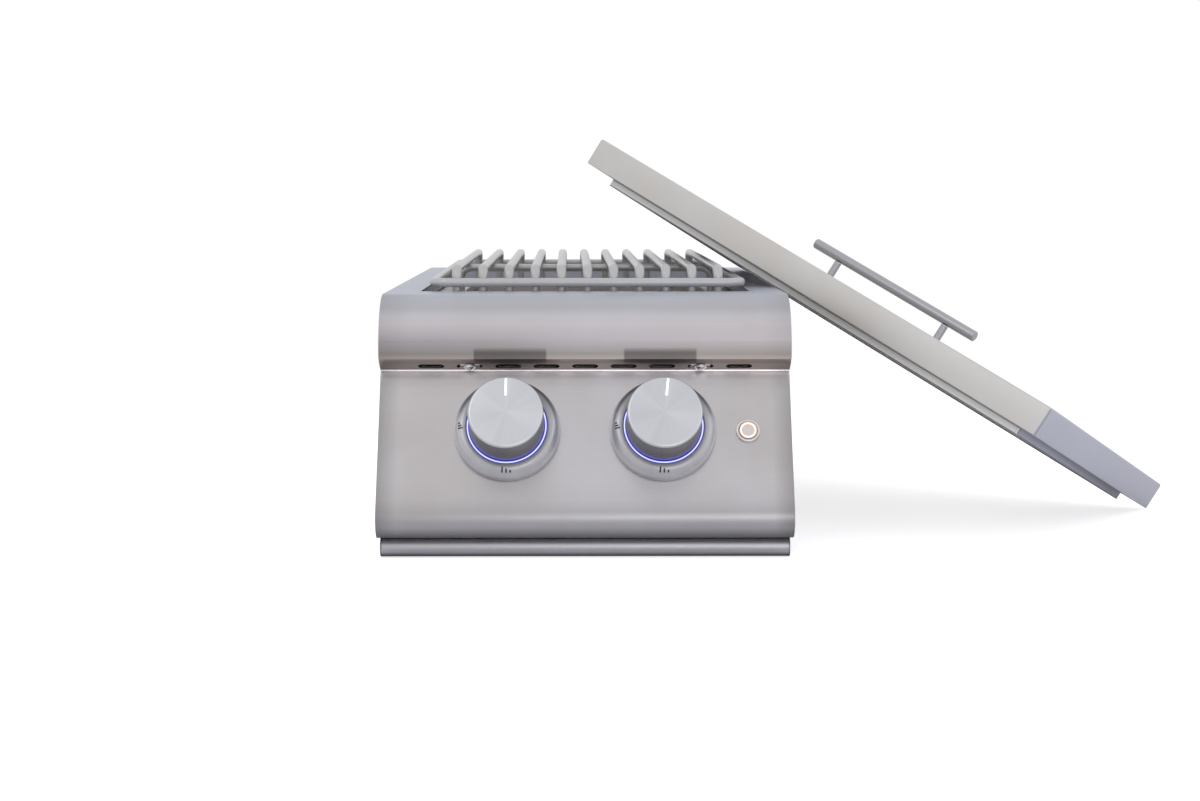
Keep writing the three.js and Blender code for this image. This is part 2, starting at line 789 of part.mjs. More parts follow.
function controls(side, frame) {
  const dial = new THREE.Group();
  dial.rotation.z = side === 'right' ? rightKnobTurn : 0;
  frame.add(dial);
  const r = knobRadius;
  const boreTop = stemTop + sheet;
  const groove = box(
    -pointerWidth / 2 - seat, pointerWidth / 2 + seat, r - pointerLength - seat, r + cutOverrun,
    knobTop - pointerDepth, knobTop + cutOverrun,
  );
  const knob = cut(turned([
    [0, boreTop], [stemRadius + stemClearance, boreTop], [stemRadius + stemClearance, collarTop + seat],
    [bossRadius, collarTop + seat], [bossRadius, knobTop - knobCrown], [r - knobWall, knobTop - knobCrown],
    [r - knobWall, knobFoot], [r, knobFoot], [r, knobTop - knobChamfer], [r - knobChamfer, knobTop],
    [0, knobTop],
  ]), groove);
  addPiece(`knob_${side}`, knob, knobMetal, dial);
  const pointer = box(
    -pointerWidth / 2, pointerWidth / 2, r - pointerLength, r - knobChamfer - pointerInset,
    knobTop - pointerDepth + seat, knobTop,
  );
  addPiece(`knob_pointer_${side}`, pointer, pointerWhite, dial);
  const crown = bezelRadius - bezelBore - bezelLand;
  const dome = Array.from({ length: bezelSteps + 1 }, (_, i) => {
    const angle = (i / bezelSteps) * (Math.PI / 2);
    return [
      bezelRadius - crown + crown * Math.cos(angle), bezelFoot + (bezelHeight - bezelFoot) * Math.sin(angle),
    ];
  });
  const bezel = turned([[bezelBore, seat], [bezelRadius, seat], ...dome, [bezelBore, bezelHeight]]);
  addPiece(`bezel_${side}`, bezel, trimSteel, frame);
  const light = turned([
    [lightRingBore, seat], [lightRingRadius, seat], [lightRingRadius, lightRingHeight],
    [lightRingBore, lightRingHeight],
  ]);
  addPiece(`light_ring_${side}`, light, knobGlow, frame);
}

function pushButton() {
  const frame = panelFrame(buttonOffset);
  body.add(frame);
  const bore = buttonCapRadius + seat;
  const floor = -buttonCapFoot - buttonTravel - seat * 2;
  addPiece('button_housing', turned([
    [0, -buttonBarrelLength], [buttonBarrelRadius, -buttonBarrelLength], [buttonBarrelRadius, seat],
    [buttonHeadRadius, seat], [buttonHeadRadius, buttonHeadHeight - seat * 2],
    [buttonHeadRadius - seat * 2, buttonHeadHeight], [bore, buttonHeadHeight], [bore, floor], [0, floor],
  ], buttonSides), trimSteel, frame);
  const grooveFloor = buttonCapTop - buttonRingDepth - seat;
  const grooveBore = buttonRingRadius - buttonRingWidth - seat;
  addPiece('button_cap', turned([
    [0, -buttonCapFoot], [buttonCapRadius, -buttonCapFoot], [buttonCapRadius, buttonCapTop - seat],
    [buttonCapRadius - seat, buttonCapTop], [buttonRingRadius + seat / 2, buttonCapTop],
    [buttonRingRadius + seat / 2, grooveFloor], [grooveBore, grooveFloor], [grooveBore, buttonCapTop],
    [0, buttonCapTop],
  ], buttonSides), trimSteel, frame);
  addPiece('button_light', turned([
    [buttonRingRadius - buttonRingWidth, grooveFloor + seat], [buttonRingRadius - seat / 2, grooveFloor + seat],
    [buttonRingRadius - seat / 2, buttonCapTop], [buttonRingRadius - buttonRingWidth, buttonCapTop],
  ], buttonSides), buttonGlow, frame);
  const nut = cut(
    prismZ(polygon(6, buttonNutRadius), -joint - buttonNutHeight, -joint),
    roundBar(buttonBarrelRadius + seat, -joint - buttonNutHeight - cutOverrun, cutOverrun, buttonSides),
  );
  addPiece('button_nut', nut, brass, frame);
}

function burnerPan() {
  const rimTop = -panDrop;
  const floor = -panFloorDrop;
  const x = panCavityWidth / 2;
  const rear = panCavityRear;
  const rimX = casingInside - panRimInset;
  const rimRear = casingRear - seat - sheet - panRimRearGap;
  const tub = join(
    box(-rimX, rimX, panRimFront, rimRear, rimTop - sheet, rimTop),
    box(-x - sheet, x + sheet, panCavityFront - sheet, rear + sheet, floor - sheet, rimTop),
  );
  const cavity = box(-x, x, panCavityFront, rear, floor, cutOverrun);
  const through = (points) => prismZ(points, floor - cutOverrun, floor + cutOverrun);
  const holes = [burnerFront, burnerRear].flatMap((y) => [
    through(polygon(burnerSides, burnerNeckRadius + neckHoleClearance)).translate(0, y, 0),
    through(polygon(pipeSides, ceramicRadius + ceramicClearance))
      .translate(igniterReach * Math.cos(igniterAngle), y + igniterReach * Math.sin(igniterAngle), 0),
    ...[-1, 1].flatMap((side) => drainShares.map((share) => through(
      roundedRectangle(drainWidth, drainLength, drainWidth / 2 - seat, slitSteps),
    ).translate(side * share * x, y, 0))),
  ]);
  addToBody('burner_pan', cut(tub, cavity, ...holes), innerSteel);
  ['left', 'right'].forEach((side, i) => {
    const top = rimTop - sheet - seat;
    const wall = casingInside - seat;
    const sign = i === 0 ? -1 : 1;
    const outline = sheetOutline([v2(wall - bracketWidth, top), v2(wall, top), v2(wall, top - bracketDrop)]
      .reverse().map((p) => v2(p.x, p.y)));
    const bracket = prismY(outline, bracketFront, casingRear - seat - sheet - bracketRearGap);
    addToBody(`pan_bracket_${side}`, sign < 0 ? bracket.scale(-1, 1, 1) : bracket, innerSteel);
  });
}

function burner(name, y, x) {
  const floor = -panFloorDrop;
  const tubeZ = floor - sheet - tubeClearance - tubeRadius;
  const start = tubeSetback;
  const knots = rounded([
    v3(x, start + mouthLength / 2, nozzlePlace.y), v3(x, y - tubeRunUp, nozzlePlace.y),
    v3(0, y - tubeLead, tubeZ), v3(0, y + burnerNeckRadius / 2, tubeZ),
  ], tubeBend, tubeBendSteps);
  const bowl = turned([
    [0, -burnerNeckDrop], [burnerNeckRadius, -burnerNeckDrop], [burnerNeckRadius, seat],
    [burnerFootRadius, seat], [burnerFootRadius, burnerFootThickness], [burnerWaistRadius, burnerWaistHeight],
    [burnerBowlRadius, burnerBowlHeight], [0, burnerBowlHeight],
  ], burnerSides).translate(0, y, floor);
  const mouth = new THREE.CylinderGeometry(tubeRadius - weld, mouthRadius, mouthLength, pipeSides)
    .translate(x, start + mouthLength / 2, nozzlePlace.y);
  const bore = barAlongY(mouthBoreRadius, start - cutOverrun, start + mouthBoreDepth)
    .translate(x, 0, nozzlePlace.y);
  addToBody(`burner_base_${name}`, cut(join(bentRod(knots, tubeRadius, pipeSides), bowl, mouth), bore), castIron);

  const ringFoot = burnerBowlHeight + seat;
  const ringTop = ringFoot + portRingHeight;
  const ring = turned([
    [portRingBore, ringFoot], [portRingRadius, ringFoot], [portRingRadius, ringTop], [portRingBore, ringTop],
  ], burnerSides);
  const ports = Array.from({ length: portBars }, (_, i) => box(
    -capRadius, capRadius, -portWidth / 2, portWidth / 2, ringTop - portHeight, ringTop + cutOverrun,
  ).rotateZ((i / portBars) * Math.PI));
  addToBody(`burner_ring_${name}`, place(cut(ring, ...ports), 0, y, floor), brass);

  const capFoot = ringTop + seat;
  addToBody(`burner_cap_${name}`, turned([
    [0, capFoot], [capRadius - capEdge, capFoot], [capRadius, capFoot + capEdge],
    [capRadius - capEdge, capFoot + 2 * capEdge], [capShoulderRadius, capFoot + capHeight - capShoulderRise],
    [0, capFoot + capHeight],
  ], burnerSides).translate(0, y, floor), castIron);
  igniter(name, y);
}

function igniter(name, y) {
  const floor = -panFloorDrop;
  const at = v3(igniterReach * Math.cos(igniterAngle), y + igniterReach * Math.sin(igniterAngle), floor);
  const insulator = turned([
    [0, -ceramicDrop], [ceramicRadius, -ceramicDrop], [ceramicRadius, seat], [ceramicCollarRadius, seat],
    [ceramicCollarRadius, seat + ceramicCollarHeight], [ceramicRadius, seat + ceramicCollarHeight],
    [ceramicRadius, ceramicRise], [0, ceramicRise],
  ], pipeSides).translate(at.x, at.y, at.z);
  addToBody(`igniter_${name}`, insulator, ceramic);
  const foot = at.clone().setZ(floor + ceramicRise + seat);
  const top = foot.clone().setZ(foot.z + electrodeRise);
  const tip = top.clone().add(v3(-Math.cos(igniterAngle), -Math.sin(igniterAngle), 0)
    .multiplyScalar(electrodeReach));
  addToBody(`electrode_${name}`, bentRod(rounded([foot, top, tip], electrodeBend, bendSteps), electrodeRadius),
    springSteel);
}

function sparkModule() {
  const y = shieldSetback - seat - sparkDepth;
  const shape = new THREE.ExtrudeGeometry(
    new THREE.Shape(roundedRectangle(sparkWidth - 2 * sparkBevel, sparkHeight - 2 * sparkBevel, sparkBevel)),
    {
      depth: sparkDepth - 2 * sparkBevel, bevelEnabled: true, bevelThickness: sparkBevel, bevelSize: sparkBevel,
      bevelSegments: 1,
    },
  ).applyMatrix4(basisY).translate(sparkInset - casingInside, y + sparkDepth - sparkBevel, -sparkDrop - sparkHeight / 2);
  addToBody('spark_module', shape, blackPlastic);
}

function dripTray() {
  const x = ribOffset - traySideGap;
  const foot = -unitHeight + sheet + trayLift;
  const front = -trayFrontSetback;
  const rear = casingRear - seat - sheet - trayRearGap;
  const tray = cut(
    box(-x, x, front, rear, foot, foot + trayHeight),
    box(-x + sheet, x - sheet, front + sheet, rear - sheet, foot + sheet, foot + trayHeight + cutOverrun),
  );
  addToBody('drip_tray', tray, innerSteel);

  // The half-round front, closed at its ends and open behind
  const centre = -unitHeight + rollLift + rollRadius;
  const back = front - seat;
  const path = [
    v2(back, centre + rollRadius),
    ...Array.from({ length: rollSteps + 1 }, (_, i) => v2(-rollFront + rollRadius, centre)
      .add(alongAngle(Math.PI / 2 + (Math.PI * i) / rollSteps, rollRadius))),
    v2(back, centre - rollRadius),
  ];
  const web = box(
    -rollWidth / 2, rollWidth / 2, back - sheet, back, centre - rollRadius + sheet / 2,
    centre - rollRadius + rollWeb,
  );
  const ends = [-1, 1].map((side) => prismX(path, sheet, side * (rollWidth / 2 - sheet / 2)));
  addToBody('drip_tray_front', join(prismX(sheetOutline(path), rollWidth), web, ...ends), panelSteel);
}

function grate() {
  const frame = new THREE.Group();
  const middle = grateFront + grateLength / 2;
  frame.position.set(grateShift, middle, 0);
  frame.rotation.z = grateSkew;
  body.add(frame);
  const x = grateWidth / 2 - frameRadius;
  const y = grateLength / 2 - frameRadius;
  const halfLoop = (sign) => bentRod(rounded([
    v3(-x, -sign * weld, frameRise), v3(-x, sign * y, frameRise), v3(x, sign * y, frameRise),
    v3(x, -sign * weld, frameRise),
  ], frameCorner, bendSteps), frameRadius);
  const legFoot = -panDrop + seat;
  const fingerZ = fingerTop - fingerRadius;
  const legY = y - frameRadius - fingerRadius + weld;
  const fingers = Array.from({ length: fingerCount }, (_, i) => {
    const at = (i - (fingerCount - 1) / 2) * fingerPitch;
    return bentRod(rounded([
      v3(at, -legY, legFoot), v3(at, -legY, fingerZ), v3(at, legY, fingerZ), v3(at, legY, legFoot),
    ], fingerBend, bendSteps), fingerRadius);
  });
  const crossX = ((fingerCount - 1) / 2) * fingerPitch + crossOverhang;
  const crossY = (crossShare - 1 / 2) * grateLength;
  const crossZ = fingerZ - 2 * fingerRadius + 2 * weld;
  const cross = bentRod(rounded([
    v3(-crossX, crossY, legFoot), v3(-crossX, crossY, crossZ), v3(crossX, crossY, crossZ),
    v3(crossX, crossY, legFoot),
  ], crossBend, bendSteps), fingerRadius);
  addPiece('grate', join(halfLoop(-1), halfLoop(1), cross, ...fingers), rodSteel, frame);
}

function lid() {
  // The lid's skirt bears on the deck's right edge and one corner of its rim stands on the floor.
  const cornerReach = (lidLength / 2 - lidCorner) * Math.cos(lidTurn)
    + (lidWidth / 2 - lidCorner) * Math.sin(lidTurn) + lidCorner;
  const drop = unitHeight - seat + (lidSkirt + seat) * Math.cos(lidTilt);
  const lean = new THREE.Group();
  lean.position.set(unitWidth / 2, 0, 0);
  lean.rotation.y = lidTilt;
  body.add(lean);
  const frame = new THREE.Group();
  frame.position.set(drop / Math.sin(lidTilt) - cornerReach, lidReach, seat);
  frame.rotation.z = -lidTurn;
  lean.add(frame);

  const top = lidSkirt + lidRim;
  const crowned = new THREE.ExtrudeGeometry(
    new THREE.Shape(roundedRectangle(lidLength - 2 * lidCrown, lidWidth - 2 * lidCrown, lidCorner - lidCrown)),
    {
      depth: lidRim, bevelEnabled: true, bevelThickness: lidCrown, bevelSize: lidCrown, bevelSegments: 2,
    },
  ).translate(0, 0, lidSkirt - lidCrown);
  const below = box(-lidLength, lidLength, -lidWidth, lidWidth, -lidRim, lidSkirt);
  const hollow = prismZ(
    roundedRectangle(lidLength - 2 * sheet, lidWidth - 2 * sheet, lidCorner - sheet), lidSkirt + sheet, top - sheet,
  );
  const mouth = prismZ(
    roundedRectangle(lidLength - 2 * lidReturn, lidWidth - 2 * lidReturn, lidCorner), 0, lidSkirt + 2 * sheet,
  );
  addPiece('lid_cover', cut(crowned, below, hollow, mouth), lidSteel, frame);

  const skirtLength = openingLength - 2 * skirtGap;
  const skirtWidth = openingWidth - 2 * skirtGap;
  const skirt = cut(
    prismZ(roundedRectangle(skirtLength, skirtWidth, skirtCorner), 0, top - sheet - seat),
    prismZ(roundedRectangle(skirtLength - 2 * sheet, skirtWidth - 2 * sheet, skirtCorner - sheet), -cutOverrun, top),
  );
  addPiece('lid_skirt', skirt, lidSteel, frame);

  const end = handleLength / 2;
  const bar = turned([
    [0, -end], [handleRadius - handleChamfer, -end], [handleRadius, -end + handleChamfer],
    [handleRadius, end - handleChamfer], [handleRadius - handleChamfer, end], [0, end],
  ], handleSides).rotateY(Math.PI / 2).translate(0, 0, top + handleRise);
  addPiece('lid_handle_bar', bar, trimSteel, frame);
  ['left', 'right'].forEach((side, i) => {
    const post = roundBar(postRadius, top + seat, top + handleRise - handleRadius - seat)
      .translate((i === 0 ? -1 : 1) * postOffset, 0, 0);
    addPiece(`lid_handle_post_${side}`, post, trimSteel, frame);
  });
}

topDeck();
controlPanel();
panelScrews();
endCaps();
mountingFlange();
casing();
rearPanel();
heatShield();
gasRail();
valves();
pushButton();
burnerPan();
burner('front', burnerFront, -knobOffset);
burner('rear', burnerRear, knobOffset);
sparkModule();
dripTray();
grate();
lid();

export default unit;
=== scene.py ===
import math

import bmesh
import bpy
from mathutils import Matrix, Vector


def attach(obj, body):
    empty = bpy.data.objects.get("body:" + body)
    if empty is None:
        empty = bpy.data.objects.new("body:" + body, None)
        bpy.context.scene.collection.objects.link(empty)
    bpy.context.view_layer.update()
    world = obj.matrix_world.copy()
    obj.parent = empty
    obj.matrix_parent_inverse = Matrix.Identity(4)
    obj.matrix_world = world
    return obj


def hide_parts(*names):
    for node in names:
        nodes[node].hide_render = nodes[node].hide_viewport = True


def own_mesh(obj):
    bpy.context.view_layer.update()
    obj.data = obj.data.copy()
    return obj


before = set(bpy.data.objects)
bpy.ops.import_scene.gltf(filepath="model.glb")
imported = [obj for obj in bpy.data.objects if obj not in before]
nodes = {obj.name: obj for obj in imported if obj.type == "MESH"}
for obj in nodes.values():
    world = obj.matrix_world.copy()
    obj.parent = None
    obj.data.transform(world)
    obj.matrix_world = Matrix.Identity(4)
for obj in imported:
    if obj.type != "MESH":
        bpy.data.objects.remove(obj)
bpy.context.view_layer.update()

MM = 0.001
scene = bpy.context.scene
scene.view_settings.view_transform = "Standard"

# The camera stands where the photograph's vanishing lines put it, in metres and degrees.
CAMERA_PLACE = (0, -2.2775, 0.3407)
CAMERA_DIP = 5.923
CAMERA_YAW = -0.41
FOCAL_LENGTH = 62.52
FILM_WIDTH = 36
camera_data = bpy.data.cameras.new("camera")
camera_data.lens = FOCAL_LENGTH
camera_data.sensor_width = FILM_WIDTH
camera = bpy.data.objects.new("camera", camera_data)
camera.location = CAMERA_PLACE
camera.rotation_euler = (math.radians(90 - CAMERA_DIP), 0, math.radians(CAMERA_YAW))
scene.collection.objects.link(camera)
scene.camera = camera

# Sizes in millimetres, as in the model of the part
WIDTH = 381
HEIGHT = 238
DEPTH = 626
SHEET = 1.5
SEAT = 0.3
WELD = 0.6

# Rolled front, and the crease where it ends
NOSE = 50
NOSE_HEIGHT = 58
NOSE_CORNER = 16
UNDERCUT = math.radians(31)
UNDERCUT_DEPTH = 20.5
SETBACK = NOSE - UNDERCUT_DEPTH
CREASE_DROP = NOSE_HEIGHT + UNDERCUT_DEPTH * math.tan(UNDERCUT)

# Opening in the deck, and the vent slots in the undercut
OPENING_WIDTH = 318
OPENING_LENGTH = 554
OPENING_FRONT = 47
OPENING_CORNER = 6
SLOTS = 9
SLOT_PITCH = 35.7
SLOT_RISE = 10
SCREW_SLOTS = {"left": 1, "right": 7}
CUTTER_REACH = 4

# Control panel, and the places of the controls on it
LEAN = math.radians(28.1)
PANEL_BOTTOM = 219.2
TOE = 18.5
FOLD = 2.4
RISE = 60.5
KNOB_X = 71.8
BUTTON_X = 150

# Knobs, bezels and light rings
KNOB_RADIUS = 34.3
KNOB_TOP = 49
KNOB_FOOT = 4.5
KNOB_RIM = 2.4
BEZEL_BORE = 37.3
BEZEL_LAND = 40
BEZEL_FOOT = 2.5
DOME_WIDTH = 9
DOME_HEIGHT = 13
BEZEL_RADIUS = BEZEL_LAND + DOME_WIDTH
BEZEL_TOP = BEZEL_FOOT + DOME_HEIGHT
GUIDE_BORE = 34.9
GUIDE_RADIUS = 36.9
GUIDE_TOP = 14.8

# Lid
LID_LENGTH = 600
LID_WIDTH = 360
LID_FOOT = 8
LID_TOP = 38
LID_CORNER = 5
LID_CROWN = 2.5
LID_TILT = math.radians(31.66)
LID_TURN = math.radians(36.69)
LID_REACH = 243.7

# A frame at the deck's front tangent line and top plane
BODY = Matrix.Translation((0, -DEPTH / 2 * MM, HEIGHT * MM))

# The front's section, as points (y, z) from the deck's front tangent line
up = Vector((math.cos(math.pi - UNDERCUT), math.sin(math.pi - UNDERCUT)))
inward = Vector((up.y, -up.x))
down = Vector((-math.sin(LEAN), -math.cos(LEAN)))
crease = Vector((-SETBACK, -CREASE_DROP))
toe_corner = crease + down * ((PANEL_BOTTOM - CREASE_DROP) / -down.y)
fold_start = crease + inward * (SHEET + SEAT)
fold_across = up.x * down.y - up.y * down.x
fold_gap = crease - fold_start
fold = fold_start + up * ((fold_gap.x * down.y - fold_gap.y * down.x) / fold_across)
control = crease + down * RISE
slot_at = crease + up * SLOT_RISE


def shift(x, y, z):
    """A move in millimetres."""
    return Matrix.Translation((x * MM, y * MM, z * MM))


def panel_matrix(x, turn=0.0):
    """A frame on the sloping panel, with Z out of it."""
    return (BODY @ shift(x, control.x, control.y) @ Matrix.Rotation(math.pi / 2 - LEAN, 4, "X")
            @ Matrix.Rotation(turn, 4, "Z"))


def slot_matrix(index):
    """A frame on the undercut, at one of its slots, with Z out of it."""
    return (BODY @ shift((index - SLOTS // 2) * SLOT_PITCH, slot_at.x, slot_at.y)
            @ Matrix.Rotation(math.pi - UNDERCUT, 4, "X"))


def lid_matrix():
    """The lid's frame: it bears on the deck's right edge, and one corner of its rim stands on the floor."""
    along = (LID_LENGTH / 2 - LID_CORNER) * math.cos(LID_TURN)
    across = (LID_WIDTH / 2 - LID_CORNER) * math.sin(LID_TURN)
    reach = along + across + LID_CORNER
    drop = HEIGHT - SEAT + (LID_FOOT + SEAT) * math.cos(LID_TILT)
    edge = BODY @ shift(WIDTH / 2, 0, 0) @ Matrix.Rotation(LID_TILT, 4, "Y")
    return (edge @ shift(drop / math.sin(LID_TILT) - reach, LID_REACH, SEAT)
            @ Matrix.Rotation(-LID_TURN, 4, "Z"))


# Meshes
def smooth(mesh, sharp):
    """Smooth shading, but for edges sharper than an angle in degrees."""
    for polygon in mesh.polygons:
        polygon.use_smooth = True
    mesh.set_sharp_from_angle(angle=math.radians(sharp))
    mesh.update()


def face_out(mesh):
    """Turns the faces of a closed mesh outwards."""
    work = bmesh.new()
    work.from_mesh(mesh)
    bmesh.ops.recalc_face_normals(work, faces=work.faces)
    work.to_mesh(mesh)
    work.free()


def build_mesh(points, faces, sharp=30):
    """A closed mesh of points in millimetres."""
    mesh = bpy.data.meshes.new("mesh")
    mesh.from_pydata([[c * MM for c in p] for p in points], [], faces)
    mesh.validate()
    face_out(mesh)
    smooth(mesh, sharp)
    return mesh


def to_object(name, mesh, matrix=Matrix()):
    """An object at the origin, with its place in its mesh."""
    mesh.name = name
    mesh.transform(matrix)
    mesh.update()
    made = bpy.data.objects.new(name, mesh)
    scene.collection.objects.link(made)
    return made


def rounded(points, radii, steps):
    """A path with an arc at each inner corner, each with its own radius and steps."""
    vectors = [Vector(p) for p in points]
    path = [vectors[0]]
    for i, (radius, count) in enumerate(zip(radii, steps), 1):
        into = (vectors[i] - vectors[i - 1]).normalized()
        out = (vectors[i + 1] - vectors[i]).normalized()
        turn = math.acos(max(-1, min(1, into.dot(out))))
        start = vectors[i] - into * radius * math.tan(turn / 2)
        side = (out - into * math.cos(turn)).normalized()
        for k in range(count + 1):
            a = turn * k / count
            path.append(start + into * radius * math.sin(a) + side * radius * (1 - math.cos(a)))
    path.append(vectors[-1])
    return path


def offset_left(path, distance):
    """A flat path, moved to its left."""
    sharpest = 0.2
    made = []
    last = len(path) - 1
    for i, p in enumerate(path):
        into = p - path[i - 1] if i > 0 else path[1] - p
        out = path[i + 1] - p if i < last else into
        into = into.normalized()
        out = out.normalized()
        along = (into + out).normalized()
        reach = distance / max(along.dot(out), sharpest)
        made.append(Vector((p.x - along.y * reach, p.y + along.x * reach)))
    return made


def sheet_outline(path):
    """The outline of a bent sheet, which lies to the left of a path."""
    return list(path) + offset_left(path, SHEET)[::-1]


def sweep_x(outline, x0, x1):
    """A sheet's outline in (y, z), swept between two places along X."""
    count = len(outline)
    points = [(x, p.x, p.y) for x in (x0, x1) for p in outline]
    faces = [[i, (i + 1) % count, (i + 1) % count + count, i + count] for i in range(count)]
    for base in (0, count):
        for i in range(count // 2 - 1):
            faces.append([base + i, base + i + 1, base + count - 2 - i, base + count - 1 - i])
    return build_mesh(points, faces)


def turned(profile, sides=48, sharp=30):
    """A profile of (radius, height) pairs, turned about Z. It starts and ends on the axis or is a ring."""
    points = []
    rings = []
    for r, h in profile:
        count = sides if r > 0 else 1
        rings.append(range(len(points), len(points) + count))
        for i in range(count):
            a = 2 * math.pi * i / sides
            points.append((r * math.cos(a), r * math.sin(a), h))
    pairs = list(zip(rings, rings[1:]))
    if profile[0][0] > 0:
        pairs.append((rings[-1], rings[0]))
    faces = []
    for low, high in pairs:
        for i in range(sides):
            corners = ((low, i), (low, i + 1), (high, i + 1), (high, i))
            face = dict.fromkeys(ring[k % len(ring)] for ring, k in corners)
            if len(face) > 2:
                faces.append(list(face))
    return build_mesh(points, faces, sharp)


def arc(centre, radius, start, end, steps):
    """Points on an arc, angles in degrees."""
    made = []
    for k in range(steps + 1):
        a = math.radians(start + (end - start) * k / steps)
        made.append((centre[0] + radius * math.cos(a), centre[1] + radius * math.sin(a)))
    return made


def rectangle_loop(width, length, radius, steps=8):
    """A rectangle with round corners."""
    x = width / 2 - radius
    y = length / 2 - radius
    made = []
    for cx, cy, start in ((x, y, 0), (-x, y, 90), (-x, -y, 180), (x, -y, 270)):
        made.extend(arc((cx, cy), radius, start, start + 90, steps))
    return made


def loft(loops, capped=True):
    """A skin over loops of as many points each, every loop (points, height)."""
    count = len(loops[0][0])
    points = [(x, y, h) for loop, h in loops for x, y in loop]
    faces = []
    for k in range(len(loops) - 1):
        for i in range(count):
            j = (i + 1) % count
            faces.append([k * count + i, k * count + j, (k + 1) * count + j, (k + 1) * count + i])
    if capped:
        faces.append(list(range(count))[::-1])
        faces.append([(len(loops) - 1) * count + i for i in range(count)])
    return build_mesh(points, faces)


def box_mesh(low, high):
    points = [(x, y, z) for x in (low[0], high[0]) for y in (low[1], high[1]) for z in (low[2], high[2])]
    faces = [[0, 1, 3, 2], [4, 6, 7, 5], [0, 4, 5, 1], [2, 3, 7, 6], [0, 2, 6, 4], [1, 5, 7, 3]]
    return build_mesh(points, faces)


def cut(target, cutters, sharp=30):
    """Cuts the cutters out of an object's mesh and deletes them."""
    for cutter in cutters:
        modifier = target.modifiers.new("cut", "BOOLEAN")
        modifier.operation = "DIFFERENCE"
        modifier.solver = "EXACT"
        modifier.object = cutter
    bpy.context.view_layer.update()
    graph = bpy.context.evaluated_depsgraph_get()
    mesh = bpy.data.meshes.new_from_object(target.evaluated_get(graph))
    target.modifiers.clear()
    target.data = mesh
    for cutter in cutters:
        bpy.data.objects.remove(cutter)
    smooth(mesh, sharp)


def tube(path, radius, sides=24):
    """The points and faces of a round rod along a path, with flat ends."""
    last = len(path) - 1
    points = []
    normal = None
    for i, p in enumerate(path):
        into = (p - path[i - 1]).normalized() if i else (path[1] - p).normalized()
        out = (path[i + 1] - p).normalized() if i < last else into
        along = (into + out).normalized()
        if normal is None:
            upright = abs(along.z) > 0.9
            normal = along.cross(Vector((1, 0, 0)) if upright else Vector((0, 0, 1))).normalized()
        normal = (normal - along * normal.dot(along)).normalized()
        side = along.cross(normal)
        for k in range(sides):
            a = 2 * math.pi * k / sides
            points.append(p + normal * radius * math.cos(a) + side * radius * math.sin(a))
    faces = []
    for i in range(last):
        for k in range(sides):
            j = (k + 1) % sides
            faces.append([i * sides + k, i * sides + j, (i + 1) * sides + j, (i + 1) * sides + k])
    faces.append(list(range(sides))[::-1])
    faces.append([last * sides + k for k in range(sides)])
    return points, faces


def joined_tubes(tubes):
    points = []
    faces = []
    for some_points, some_faces in tubes:
        base = len(points)
        points.extend(some_points)
        faces.extend([[i + base for i in face] for face in some_faces])
    return build_mesh(points, faces, 40)


# Nodes of the materials. A share is a number for all three channels, or a colour.
def as_color(share):
    return share if isinstance(share, tuple) else (share, share, share)


def tint(color, shares):
    return tuple(c * share for c, share in zip(color, as_color(shares)))


def fill(tree, node, inputs):
    """Puts a value, a colour or another node's output into a node's sockets, by their names or numbers."""
    for name, value in inputs.items():
        socket = node.inputs[name]
        if hasattr(value, "is_linked"):
            tree.links.new(value, socket)
        elif socket.type == "RGBA":
            socket.default_value = (*as_color(value), 1)
        else:
            socket.default_value = value


def add_node(tree, kind, inputs=None, **settings):
    node = tree.nodes.new("ShaderNode" + kind)
    for name, value in settings.items():
        setattr(node, name, value)
    fill(tree, node, inputs or {})
    return node


def new_material(name):
    made = bpy.data.materials.new(name)
    made.use_nodes = True
    tree = made.node_tree
    tree.nodes.clear()
    shader = add_node(tree, "BsdfPrincipled")
    add_node(tree, "OutputMaterial", {"Surface": shader.outputs["BSDF"]})
    return made, tree, shader


def add_math(tree, operation, *values):
    return add_node(tree, "Math", dict(enumerate(values)), operation=operation).outputs["Value"]


def add_vector_math(tree, operation, *values):
    node = add_node(tree, "VectorMath", dict(enumerate(values)), operation=operation)
    return node.outputs["Value" if operation == "LENGTH" else "Vector"]


def add_place(tree, matrix=None):
    """Object coordinates, or a piece's own ones where it has a frame."""
    place = add_node(tree, "TexCoord").outputs["Object"]
    if matrix is None:
        return place
    inputs = {"Vector": place, "Location": matrix.to_translation(), "Rotation": matrix.to_euler()}
    return add_node(tree, "Mapping", inputs, vector_type="TEXTURE").outputs["Vector"]


def add_split(tree, vector):
    return add_node(tree, "SeparateXYZ", {"Vector": vector}).outputs


def add_radius(tree, matrix=None):
    """The distance from a turned piece's axis, and the direction from it."""
    flat = add_vector_math(tree, "MULTIPLY", add_place(tree, matrix), (1, 1, 0))
    return add_vector_math(tree, "LENGTH", flat), add_vector_math(tree, "NORMALIZE", flat)


def add_noise(tree, vector, scale, stretch=(1, 1, 1), detail=3.0, roughness=0.5, distortion=0.0):
    stretched = add_node(tree, "Mapping", {"Vector": vector, "Scale": stretch}).outputs["Vector"]
    inputs = {"Vector": stretched, "Scale": scale, "Detail": detail, "Roughness": roughness,
              "Distortion": distortion}
    return add_node(tree, "TexNoise", inputs).outputs["Fac"]


def add_rings(tree, radius, scale):
    """Fine turning marks, which change with the radius only."""
    inputs = {"W": radius, "Scale": scale, "Detail": 2}
    return add_node(tree, "TexNoise", inputs, noise_dimensions="1D").outputs["Fac"]


def add_range(tree, value, low, high, from_low=0.3, from_high=0.7):
    inputs = {"Value": value, "From Min": from_low, "From Max": from_high, "To Min": low, "To Max": high}
    return add_node(tree, "MapRange", inputs).outputs["Result"]


